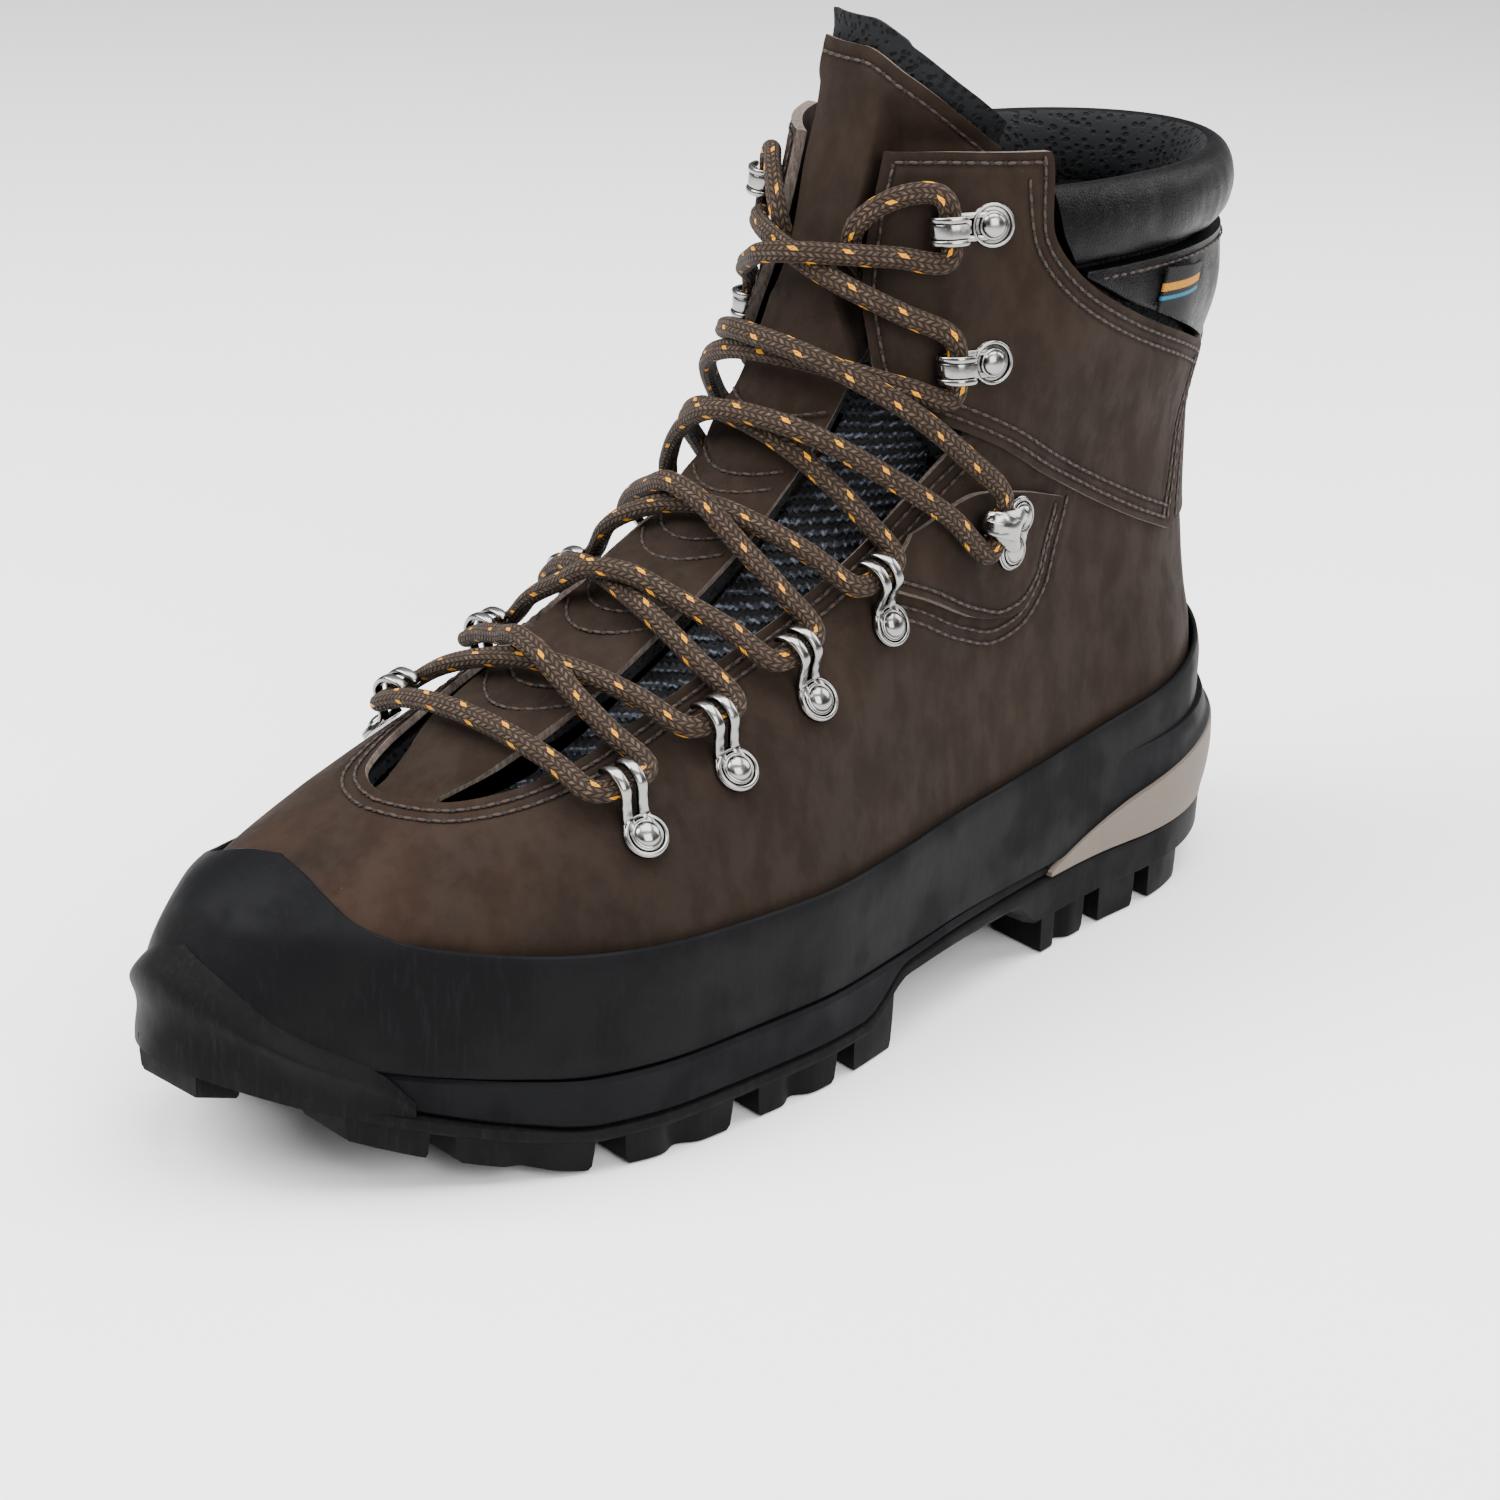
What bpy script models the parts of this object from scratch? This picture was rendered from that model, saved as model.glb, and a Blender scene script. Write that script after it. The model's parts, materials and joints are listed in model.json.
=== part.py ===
"""Left hiking boot with hinged tongue and lift-out insole.

Toe towards -Y, heel towards +Y, outer (lateral) side towards +X, soles of the lugs on z = 0.
Every length below is in millimetres; MM turns them into metres as each mesh is made.
Every part of the upper is laid out on one skin, form(a, z): a runs from the front ridge (0)
round the lateral side to the back seam (1) and round the medial side (-1); z is the height.
"""

import math

import bmesh
import bpy
import numpy as np

MM = 0.001
GAP = 0.3

# The skin of the upper, station by station up the boot.
LEVELS = [20, 35, 50, 60, 70, 80, 95, 110, 130, 150, 175, 205]
FRONT_Y = [-143, -143, -137, -120, -95, -70, -40, -13, 7, 18, 26, 33]
BACK_Y = [147, 149, 149, 148, 146, 145, 144, 144, 146, 147, 148, 147]
SHAFT_SHARE = [0, 0, 0.12, 0.25, 0.38, 0.52, 0.75, 0.9, 1, 1, 1, 1]
FRONT_CAP = [80, 80, 78, 78, 78, 78, 75, 70, 62, 60, 58, 56]
BACK_CAP = [50, 50, 50, 50, 52, 54, 56, 58, 60, 60, 60, 60]
SHAFT_LATERAL = [36, 36, 36, 35, 34, 33, 33, 33, 36, 38, 39, 39]
SHAFT_MEDIAL = [30, 30, 28, 26, 26, 28, 31, 33, 36, 38, 39, 39]
# The widths of the foot part and the bend of its centre line, from toe to heel.
FOOT_Y = [-150, -120, -90, -60, -30, 0, 30, 60, 90, 120, 150]
FOOT_LATERAL = [42, 44, 48, 50, 50, 47, 43, 40, 38, 38, 38]
FOOT_MEDIAL = [37, 40, 45, 48, 44, 37, 33, 32, 34, 36, 37]
CENTRE_Y = [-150, -110, -70, -20, 30, 150]
CENTRE_X = [-11, -6, -1, 1, 0, 0]

# Layers of the upper, as distances outwards from the skin: (inner, outer).
LINING = (-5.8, -3.7)
STIFFENER = (-3.0, -2.1)
LEATHER = (-1.6, 0.0)
OVERLAY = (1.0, 2.2)
RAND = (1.0, 2.6)
CUP = (3.4, 5.8)
GUSSET = (-7.4, -6.5)

# The sole.
SOLE_LEVEL = 25
FOOT_BASE = 20
TOE_SPRING_Y = [-152, -143, -130, -115, -98, -84, 150]
TOE_SPRING = [20.5, 17.5, 12.5, 7, 2.5, 0, 0]
TOE_SPRING_SHARE = 0.62
SLAB_Y = [-150, -12, 4, 48, 58, 150]
SLAB_BOTTOM = [4.2, 4.2, 12.5, 12.5, 6, 6]
SLAB_TOP = [9.5, 9.5, 17.5, 17.5, 17.5, 17.5]
LUG_SINK = 1.5
SIDE_LUGS = [(-128, -115), (-111, -86), (-80, -53), (-46, -22), (-16, -1),
             (60, 78), (84, 98), (104, 120)]
LUG_DEPTH = 15
LUG_EDGE = 4.0

# The top edge of the lower leather, and the edges of the ankle panel, as (a, z) or a against z.
THROAT_A = [0, 0.075, 0.12, 0.15, 0.174, 0.204, 0.246, 0.27, 0.295, 0.33]
THROAT_Z = [69, 69.5, 71.5, 75.5, 82.1, 89, 97.4, 104, 113, 124]
BACK_LOW = 88.5
PANEL_LOW = [(0.224, 131), (0.29, 127.5), (0.383, 121.1), (0.488, 111.2), (0.593, 101.3),
             (0.665, 94.6), (0.737, 88.5)]
PANEL_HIGH = [(0.084, 183), (0.2, 184), (0.316, 184), (0.345, 167), (0.4, 157), (0.5, 147), (0.738, 130.5)]
PANEL_FRONT = [(0.224, 131), (0.174, 136), (0.132, 145), (0.1, 155), (0.088, 164), (0.084, 173),
               (0.084, 183)]
MEDIAL_SHIFT = 0.045
SEAM_Z = [130.5, 147, 157, 167, 184]
SEAM_A = [0.75, 0.51, 0.412, 0.357, 0.328]

# The tongue: half-widths of its leather on the lateral and medial side, by height.
TONGUE_Z = [70.6, 76, 84, 97, 125, 150, 168, 180, 204]
TONGUE_LATERAL = [0.05, 0.085, 0.1, 0.115, 0.125, 0.13, 0.145, 0.27, 0.27]
TONGUE_MEDIAL = [0.05, 0.085, 0.1, 0.115, 0.12, 0.115, 0.115, 0.12, 0.12]
TONGUE_TOP_A = [-0.12, 0.0, 0.1, 0.2, 0.27]
TONGUE_TOP_Z = [203.5, 203.5, 198.5, 190.5, 184]
TONGUE_LEATHER = 1.6
TONGUE_PAD = 4.2
TONGUE_PIVOT = (0, -93, 66)
INSOLE_PIVOT = (0, -137, 35)

# The middle of the boot's box in plan, which every point is moved back by as it is made.
BOX_CENTRE = np.array([1.146, 3.8, 0])


def smooth(x, xs, ys):
    """A monotone cubic through the stations (xs, ys), held level beyond both ends."""
    xs, ys, x = (np.asarray(v, float) for v in (xs, ys, x))
    step = np.diff(xs)
    rise = np.diff(ys) / step
    slope = np.zeros(len(xs))
    slope[0], slope[-1] = rise[0], rise[-1]
    for i in range(1, len(xs) - 1):
        if rise[i - 1] * rise[i] > 0:
            before = 2 * step[i] + step[i - 1]
            after = step[i] + 2 * step[i - 1]
            slope[i] = (before + after) / (before / rise[i - 1] + after / rise[i])
    i = np.clip(np.searchsorted(xs, x) - 1, 0, len(xs) - 2)
    t = np.clip((x - xs[i]) / step[i], 0, 1)
    start = (1 + 2 * t) * (1 - t) ** 2 * ys[i] + t * (1 - t) ** 2 * step[i] * slope[i]
    end = t * t * (3 - 2 * t) * ys[i + 1] + t * t * (t - 1) * step[i] * slope[i + 1]
    return start + end


def form(a, z):
    """Points of the skin at position a round the boot and height z; a runs on past 1 to the medial side."""
    a, z = np.broadcast_arrays(np.asarray(a, float), np.asarray(z, float))
    a = np.where(a > 1, a - 2, a)
    share = (1 - np.cos(np.pi * np.abs(a))) / 2
    front, back = smooth(z, LEVELS, FRONT_Y), smooth(z, LEVELS, BACK_Y)
    y = front + (back - front) * share
    lateral = a >= 0
    foot = np.where(lateral, smooth(y, FOOT_Y, FOOT_LATERAL), smooth(y, FOOT_Y, FOOT_MEDIAL))
    shaft = np.where(lateral, smooth(z, LEVELS, SHAFT_LATERAL), smooth(z, LEVELS, SHAFT_MEDIAL))
    k = smooth(z, LEVELS, SHAFT_SHARE)
    half = foot * (1 - k) + shaft * k
    into_front = np.clip((y - front) / smooth(z, LEVELS, FRONT_CAP), 0, 1)
    into_back = np.clip((back - y) / smooth(z, LEVELS, BACK_CAP), 0, 1)
    ends = np.sqrt(1 - (1 - into_front) ** 2) * np.sqrt(1 - (1 - into_back) ** 2)
    x = smooth(y, CENTRE_Y, CENTRE_X) * (1 - k) + np.where(lateral, 1, -1) * half * ends
    return np.stack([x, y, z], -1)


def skin(a, z, out=0.0):
    """Points a distance out from the skin, along its normal."""
    a, z, out = np.broadcast_arrays(*(np.asarray(v, float) for v in (a, z, out)))
    across = form(a + 1e-3, z) - form(a - 1e-3, z)
    seam = np.abs(np.where(a > 1, a - 2, a)) > 0.998
    across = np.where(seam[..., None], np.array([-1.0, 0, 0]), across)
    up = form(a, z + 0.3) - form(a, z - 0.3)
    normal = np.cross(across, up)
    normal /= np.linalg.norm(normal, axis=-1, keepdims=True)
    return form(a, z) + normal * out[..., None]


def route(points, count):
    """Points evenly spaced by index along a polyline of (a, z) corners."""
    points = np.asarray(points, float)
    at = np.linspace(0, len(points) - 1, count)
    return np.stack([np.interp(at, range(len(points)), points[:, k]) for k in (0, 1)], -1)


def toe_rise(a):
    """How far toe spring lifts the foot's base at position a."""
    y = form(a, SOLE_LEVEL)[..., 1]
    return TOE_SPRING_SHARE * smooth(y, TOE_SPRING_Y, TOE_SPRING)


def foot_base(a):
    return FOOT_BASE + toe_rise(a)


MATERIALS = {}


def material(name, colour, roughness, metallic=0.0):
    made = bpy.data.materials.new(name)
    made.use_nodes = True
    shader = made.node_tree.nodes["Principled BSDF"]
    shader.inputs["Base Color"].default_value = (*colour, 1)
    shader.inputs["Roughness"].default_value = roughness
    shader.inputs["Metallic"].default_value = metallic
    made.diffuse_color = (*colour, 1)
    MATERIALS[name] = made


def add_object(name, verts, faces, slot, parent=None, origin=(0, 0, 0)):
    """A mesh object from vertices in millimetres, with its origin at the given point."""
    origin = np.asarray(origin, float)
    mesh = bpy.data.meshes.new(name)
    mesh.from_pydata([tuple((np.asarray(v) - origin) * MM) for v in verts], [], faces)
    mesh.materials.append(MATERIALS[slot])
    mesh.shade_smooth()
    mesh.set_sharp_from_angle(angle=math.radians(35))
    obj = bpy.data.objects.new(name, mesh)
    obj.location = (origin - BOX_CENTRE) * MM
    bpy.context.collection.objects.link(obj)
    if parent is not None:
        obj.parent = parent
        obj.location = (0, 0, 0)
    return obj


def grid_faces(rows, columns, first, flip, ring):
    """Triangles over a grid of vertices, closed on itself along its columns when ring is true.

    Every cell is split along the same diagonal, so that parallel walls stay parallel.
    """
    faces = []
    for i in range(rows - 1):
        for j in range(columns if ring else columns - 1):
            k = (j + 1) % columns
            near, far = first + i * columns, first + (i + 1) * columns
            for face in ([near + j, near + k, far + k], [near + j, far + k, far + j]):
                faces.append(face[::-1] if flip else face)
    return faces


def shell_mesh(outer, inner, ring=False):
    """A closed wall between two grids of points (rows upwards, columns round the boot)."""
    rows, columns = outer.shape[:2]
    verts = np.concatenate([outer.reshape(-1, 3), inner.reshape(-1, 3)])
    shift = rows * columns
    faces = grid_faces(rows, columns, 0, False, ring) + grid_faces(rows, columns, shift, True, ring)
    border = []
    if ring:
        loops = [[j for j in range(columns)], [(rows - 1) * columns + j for j in range(columns)][::-1]]
        border = [(loop[j], loop[(j + 1) % columns]) for loop in loops for j in range(columns)]
    else:
        loop = [j for j in range(columns)]
        loop += [i * columns + columns - 1 for i in range(1, rows)]
        loop += [(rows - 1) * columns + j for j in range(columns - 2, -1, -1)]
        loop += [i * columns for i in range(rows - 2, 0, -1)]
        border = [(loop[j], loop[(j + 1) % len(loop)]) for j in range(len(loop))]
    faces += [[j, i, i + shift, j + shift] for i, j in border]
    return verts, faces


def panel(name, slot, low, high, layer, rows, ring=False, front=None, parent=None, origin=(0, 0, 0)):
    """A wall on the skin between two (a, z) routes, with its front edge on a third one if given.

    layer holds the wall's inner and outer distance from the skin, as numbers or functions of (a, z).
    """
    low, high = np.asarray(low, float), np.asarray(high, float)
    v = np.linspace(0, 1, rows)[:, None, None]
    where = (1 - v) * low[None] + v * high[None]
    if front is not None:
        edge = route(front, rows)
        at_start = abs(low[0, 0]) < abs(low[-1, 0])
        end = 0 if at_start else -1
        fade = np.linspace(1, 0, len(low)) if at_start else np.linspace(0, 1, len(low))
        where = where + (edge - where[:, end])[:, None] * fade[None, :, None] ** 2
    a, z = where[..., 0], where[..., 1]
    inner, outer = (side(a, z) if callable(side) else side for side in layer)
    verts, faces = shell_mesh(skin(a, z, outer), skin(a, z, inner), ring)
    return add_object(name, verts, faces, slot, parent, origin)


def round_boot(count):
    """Positions round the whole boot without repeating the back seam, from medial to lateral."""
    return np.linspace(-1, 1, count + 1)[1:]


def mirrored(points):
    """A lateral route of (a, z) seen on the medial side, in the same turning direction."""
    return [(-a, z) for a, z in points][::-1]


def sole_loop(heights, grow, count=26):
    """A closed outline of the sole, lateral side first; heights and grow are functions of (y, a)."""
    a = np.concatenate([np.linspace(0, 1, count + 1), -np.linspace(1, 0, count + 1)[1:-1]])
    base = skin(a, np.full_like(a, SOLE_LEVEL))
    ahead = skin(np.clip(a + 2e-3, -1, 1), SOLE_LEVEL) - skin(np.clip(a - 2e-3, -1, 1), SOLE_LEVEL)
    out = np.stack([ahead[:, 1], -ahead[:, 0]], -1)
    out /= np.linalg.norm(out, axis=1, keepdims=True)
    out[count] = (0, 1)
    points = base.copy()
    points[:, :2] += out * np.asarray(grow(base[:, 1], a))[:, None]
    points[:, 2] = heights(base[:, 1], a)
    return points


def slab_mesh(loops):
    """A solid from stacked sole outlines, its two ends closed by strips from side to side."""
    count = len(loops[0])
    half = count // 2
    verts = np.concatenate(loops)
    faces = []
    for level in range(len(loops) - 1):
        for j in range(count):
            k = (j + 1) % count
            faces.append([level * count + j, level * count + k,
                          (level + 1) * count + k, (level + 1) * count + j])
    for first, flip in ((0, True), ((len(loops) - 1) * count, False)):
        for j in range(half):
            face = [first + j, first + j + 1, first + (count - j - 1) % count, first + (count - j) % count]
            face = [v for n, v in enumerate(face) if v not in face[:n]]
            faces.append(face[::-1] if flip else face)
    return verts, faces


def ground(y):
    """Height of the tread: flat on the ground behind the ball, rising under the toes."""
    return smooth(y, TOE_SPRING_Y, TOE_SPRING)


def slab_bottom(y, a=None):
    return ground(y) * 0.97 + smooth(y, SLAB_Y, SLAB_BOTTOM)


def slab_top(y, a=None):
    return ground(y) * 0.97 + smooth(y, SLAB_Y, SLAB_TOP)


def cleared(lift):
    """Height of the foot's base plus a lift, as a function for sole_loop."""
    return lambda y, a: FOOT_BASE + TOE_SPRING_SHARE * ground(y) + lift


def sole_edge(y, a):
    """How far the outsole stands out from the upper: least at the toe wrap, most at the heel's back."""
    flare = np.clip((np.abs(a) - 0.72) / 0.2, 0, 1)
    return 4.4 + 2.6 * flare


def join_with(obj, verts, faces):
    """Unites another closed mesh into an object."""
    cutter = add_object(obj.name + "_join", verts, faces, obj.data.materials[0].name)
    cutter.hide_render = True
    cutter.display_type = "WIRE"
    union = obj.modifiers.new("join", "BOOLEAN")
    union.operation = "UNION"
    union.object = cutter
    union.solver = "EXACT"
    union.use_self = True


def side_position(y):
    """The position a at which the sole's outline passes y."""
    front, back = smooth(SOLE_LEVEL, LEVELS, FRONT_Y), smooth(SOLE_LEVEL, LEVELS, BACK_Y)
    return math.acos(1 - 2 * (y - front) / (back - front)) / math.pi


def block(points, low, high, taper):
    """A prism on plan points, its lower end drawn in by a taper."""
    points = np.asarray(points, float)
    middle = points.mean(axis=0)
    foot = middle + (points - middle) * (1 - taper)
    count = len(points)
    verts = [(*p, z) for p, z in zip(foot, low(foot[:, 1]))]
    verts += [(*p, z) for p, z in zip(points, high(points[:, 1]))]
    faces = [list(range(count))[::-1], list(range(count, 2 * count))]
    faces += [[j, (j + 1) % count, count + (j + 1) % count, count + j] for j in range(count)]
    return verts, faces


def lug_plans():
    """Counter-clockwise plan outlines of the edge lugs, the toe and heel back lugs and the centre lugs."""
    plans = []
    for start, end in SIDE_LUGS:
        for side in (1, -1):
            a = side * np.linspace(side_position(start), side_position(end), 3)
            edge = skin(a, SOLE_LEVEL)[:, :2]
            edge[:, 0] += side * (LUG_EDGE - 0.6)
            inside = edge[::-1] - [side * LUG_DEPTH, 0]
            plan = np.concatenate([edge, inside])
            plans.append(plan if side > 0 else plan[::-1])
    for y, depth, half in ((-141, 11, 9), (139, 12, 11)):
        plans.append([(-half + centre_x(y), y - depth / 2), (half + centre_x(y), y - depth / 2),
                      (half + centre_x(y), y + depth / 2), (-half + centre_x(y), y + depth / 2)])
    for y in (-116, -95, -74, -53, -32, -11, 72, 92, 112):
        for side in (1, -1):
            x = side * 11 + centre_x(y)
            plans.append([(x - 7, y - 6 + 3 * side), (x + 7, y - 6 - 3 * side),
                          (x + 7, y + 6 - 3 * side), (x - 7, y + 6 + 3 * side)])
    return plans


def centre_x(y):
    return float(smooth(y, CENTRE_Y, CENTRE_X))


def make_outsole():
    loops = [sole_loop(slab_bottom, lambda y, a: sole_edge(y, a) - 1.6),
             sole_loop(lambda y, a: slab_bottom(y) + 1.6, sole_edge),
             sole_loop(slab_top, sole_edge)]
    outsole = add_object("outsole", *slab_mesh(loops), "outsole_rubber")
    verts, faces = [], []
    for plan in lug_plans():
        some, rings = block(plan, ground, lambda y: slab_bottom(y) + LUG_SINK, 0.12)
        faces += [[len(verts) + v for v in ring] for ring in rings]
        verts += some
    join_with(outsole, verts, faces)
    a = np.arange(-6, 7) / 30
    low = np.stack([a, toe_rise(a) / TOE_SPRING_SHARE + 6.5], -1)
    high = np.stack([a, smooth(np.abs(a), WRAP_A, WRAP_Z)], -1)
    v = np.linspace(0, 1, 5)[:, None, None]
    where = (1 - v) * low[None] + v * high[None]
    wall = shell_mesh(skin(where[..., 0], where[..., 1], CUP[1]), skin(where[..., 0], where[..., 1], CUP[0]))
    join_with(outsole, *wall)
    return outsole


WRAP_A = [0, 0.05, 0.12, 0.18, 0.2]
WRAP_Z = [46, 43, 34.5, 25.5, 19]
RAND_A = [0, 0.04, 0.09, 0.14, 0.2, 0.3, 0.45, 0.6, 0.75, 0.9, 1]
RAND_Z = [60, 59, 56.5, 53, 49.5, 45.5, 43.3, 45.8, 52, 59, 62]
INSERT_A = [0.64, 0.68, 0.76, 0.86, 1]
INSERT_Z = [18.8, 24, 31, 36, 38]


def make_sole():
    make_outsole()
    inset = lambda amount: lambda y, a: np.full_like(y, -amount)
    toe_room = lambda y, a: np.where(np.abs(a) < 0.25, 2.2, np.where(np.abs(a) > 0.6, 1.8, 4.0))
    rim = [sole_loop(lambda y, a: slab_top(y) + GAP, toe_room), sole_loop(cleared(0.0), toe_room)]
    add_object("midsole", *slab_mesh(rim), "midsole_rubber")
    board = [sole_loop(cleared(2.0), inset(2.4)), sole_loop(cleared(3.8), inset(2.4))]
    add_object("lasting_board", *slab_mesh(board), "board")
    a = np.concatenate([np.linspace(INSERT_A[0], 1, 13), -np.linspace(1, INSERT_A[0], 13)[1:]])
    top = smooth(np.abs(a), INSERT_A, INSERT_Z)
    swell = lambda a, z: CUP[1] + 1.6 * np.clip((np.abs(a) - 0.7) / 0.2, 0, 1)
    low = np.stack([a, np.full_like(a, SLAB_TOP[-1] + GAP)], -1)
    panel("heel_insert", "insert", low, np.stack([a, top], -1), (CUP[0], swell), 4)
    low = np.stack([a, top + GAP], -1)
    high = np.stack([a, 38 + 5.0 * np.clip((np.abs(a) - 0.6) / 0.3, 0, 1)], -1)
    panel("heel_cradle", "midsole_rubber", low, high, (CUP[0], 4.6), 3)


def tongue_out(a, z):
    """Outer face of the tongue: flush in the throat, below the linings beyond the ankle panels' edges.

    It lies deeper still where the ends of the lace are tucked in beside it.
    """
    edge_z, edge_a = [p[1] for p in PANEL_FRONT], [p[0] for p in PANEL_FRONT]
    edge = smooth(z, edge_z, edge_a) + np.where(a < 0, MEDIAL_SHIFT, 0)
    tuck_room = np.exp(-((z - 156) / 11) ** 2)
    sink = np.clip((np.abs(a) - edge + 0.025 * tuck_room + 0.03) / 0.03, 0, 1)
    return -0.4 - 6.4 * (1 + tuck_room) * sink * sink * (3 - 2 * sink)


def tongue_grid(columns, rows):
    """Positions (a, z) over the tongue's leather, row by row from its root to its top edge."""
    s = np.linspace(-1, 1, columns)
    top = np.full(columns, TONGUE_TOP_Z[0], float)
    for _ in range(6):
        top = smooth(tongue_across(s, top), TONGUE_TOP_A, TONGUE_TOP_Z)
    z = TONGUE_Z[0] + np.linspace(0, 1, rows)[:, None] * (top - TONGUE_Z[0])
    return tongue_across(s[None], z), z


def tongue_across(s, z):
    """Position a at a share s (-1 to 1) of the tongue's width."""
    medial, lateral = smooth(z, TONGUE_Z, TONGUE_MEDIAL), smooth(z, TONGUE_Z, TONGUE_LATERAL)
    return s * np.where(s < 0, medial, lateral)


def make_tongue():
    hinge = bpy.data.objects.new("tongue_hinge", None)
    hinge.location = (np.array(TONGUE_PIVOT) - BOX_CENTRE) * MM
    bpy.context.collection.objects.link(hinge)
    a, z = tongue_grid(15, 14)
    outer = tongue_out(a, z)
    verts, faces = shell_mesh(skin(a, z, outer), skin(a, z, outer - TONGUE_LEATHER))
    add_object("tongue_leather", verts, faces, "nubuck", hinge, TONGUE_PIVOT)
    # The pad lies under the leather on the same grid and rolls a little above its top edge.
    a, z = np.vstack([a[1:], a[-1:]]), np.vstack([z[1:], z[-1:] + 2.5])
    outer = tongue_out(a, z) - TONGUE_LEATHER - 4 * GAP
    verts, faces = shell_mesh(skin(a, z, outer), skin(a, z, outer - TONGUE_PAD))
    add_object("tongue_pad", verts, faces, "mesh_lining", hinge, TONGUE_PIVOT)


def top_of_lower(a):
    """Top edge of the lower leather: up the throat, then back below the ankle panel."""
    low_a, low_z = zip(*PANEL_LOW)
    under_panel = np.interp(np.abs(a), low_a, low_z) - 0.7
    return np.minimum(smooth(np.abs(a), THROAT_A, THROAT_Z), np.where(np.abs(a) > 0.28, under_panel, 200))


def make_lower():
    a = round_boot(60)
    base = foot_base(a)
    top = top_of_lower(a)
    low, high = np.stack([a, base + 0.4], -1), np.stack([a, top], -1)
    panel("lower_leather", "nubuck", low, high, LEATHER, 9, ring=True)
    base = foot_base(a) + 4.4
    top = np.minimum(top_of_lower(a), 96) - 1.5
    low, high = np.stack([a, base], -1), np.stack([a, top], -1)
    panel("vamp_lining", "mesh_lining", low, high, LINING, 6, ring=True)
    low, high = np.stack([a, foot_base(a) + 0.4], -1), np.stack([a, smooth(np.abs(a), RAND_A, RAND_Z)], -1)
    panel("rand", "rand_rubber", low, high, RAND, 5, ring=True)
    a = np.arange(-5, 6) / 30
    low, high = np.stack([a, foot_base(a) + 4.4], -1), np.stack([a, 54 - 60 * np.abs(a)], -1)
    panel("toe_puff", "board", low, high, STIFFENER, 5)
    a = np.concatenate([np.arange(21, 31), -np.arange(29, 20, -1)]) / 30
    low, high = np.stack([a, foot_base(a) + 4.4], -1), np.stack([a, 74 + 26 * (np.abs(a) - 0.7)], -1)
    panel("heel_counter", "board", low, high, STIFFENER, 5)


def shifted(points):
    """The medial copy of a lateral route whose front part stands further from the ridge."""
    return [(-a - MEDIAL_SHIFT * min(1, max(0, (0.32 - a) / 0.1)), z) for a, z in points][::-1]


def past_back(points):
    """A medial route counted on from the back seam, so that it joins a lateral one."""
    return [(a + 2, z) for a, z in points]


def make_shaft():
    sides = (("lateral", lambda p: p), ("medial", shifted))
    for side, turn in sides:
        low, high, front = route(turn(PANEL_LOW), 13), route(turn(PANEL_HIGH), 13), turn(PANEL_FRONT)
        front = front if side == "lateral" else front[::-1]
        panel("ankle_panel_" + side, "nubuck", low, high, LEATHER, 8, front=front)
    for side, turn in (("lateral", lambda p: p), ("medial", mirrored)):
        low = turn([(0.335, 97), (0.4, 92.5), (0.47, 86), (0.545, 79)])
        high = turn([(0.325, 106), (0.385, 112), (0.45, 110), (0.513, 106.5)])
        panel("wing_" + side, "nubuck", route(low, 7), route(high, 7), OVERLAY, 4)
    back = [0.75, 0.8, 0.87, 0.94, 1, -0.94, -0.87, -0.8, -0.75]
    low = [(a, BACK_LOW) for a in back]
    high = [(a, 130.5 + 24 * (abs(a) - 0.75)) for a in back]
    panel("back_stay", "nubuck", low, high, LEATHER, 4)
    a = np.concatenate([np.linspace(0, 1, 21), np.linspace(1, 0, 21)[1:]])
    sign = np.where(np.arange(41) <= 20, 1, -1)
    seam_low = smooth(156.8, SEAM_Z, SEAM_A)
    at = sign * (seam_low + (1 - seam_low) * a)
    z_low = np.interp(np.abs(at), [0.412, 0.51, 0.75, 1], [156.2, 147.6, 131.6, 137.2])
    bulge = lambda a, z: 0.2 + 1.0 * np.sin(np.pi * np.clip((z - 132) / 25, 0, 1))
    panel("collar_band", "collar_leather", np.stack([at, z_low], -1), np.stack([at, np.full(41, 157.2)], -1),
          (-3.0, bulge), 4)
    low = PANEL_LOW[:] + [(0.86, BACK_LOW), (0.95, BACK_LOW)]
    low = route(low + [(1, BACK_LOW)] + past_back(shifted(low)), 37)
    high = [(0.1, 182.5), (0.2, 183), (0.295, 183), (0.33, 170), (0.385, 156.8), (0.5, 156.8), (0.7, 156.8),
            (0.86, 156.8), (0.95, 156.8)]
    high = route(high + [(1, 156.8)] + past_back(shifted(high)), 37)
    panel("shaft_lining", "mesh_lining", low, high, LINING, 7)


def tube_faces(rings, sides):
    """Faces of a tube of vertex rings with both ends closed."""
    faces = [list(range(sides)), [(rings - 1) * sides + j for j in range(sides)][::-1]]
    for i in range(rings - 1):
        for j in range(sides):
            k = (j + 1) % sides
            faces.append([i * sides + k, i * sides + j, (i + 1) * sides + j, (i + 1) * sides + k])
    return faces


def make_collar_roll():
    """A padded tube round the top line; its ends lie along the slanting front seams."""
    stations, sides = 19, 10
    turn = 2 * np.pi * np.arange(sides) / sides
    z = 167 + 9.0 * np.sin(turn)
    out = -3.4 + 5.2 * np.cos(turn)
    seam = smooth(z, SEAM_Z, SEAM_A)
    u = np.concatenate([np.linspace(0, 1, stations), np.linspace(1, 0, stations)[1:]])
    sign = np.where(np.arange(len(u)) < stations, 1, -1)
    a = sign[:, None] * (seam[None] + (1 - seam[None]) * u[:, None])
    verts = skin(a, np.broadcast_to(z, a.shape), np.broadcast_to(out, a.shape)).reshape(-1, 3)
    faces = tube_faces(len(u), sides)
    add_object("collar_roll", verts, faces, "collar_leather")


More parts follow.
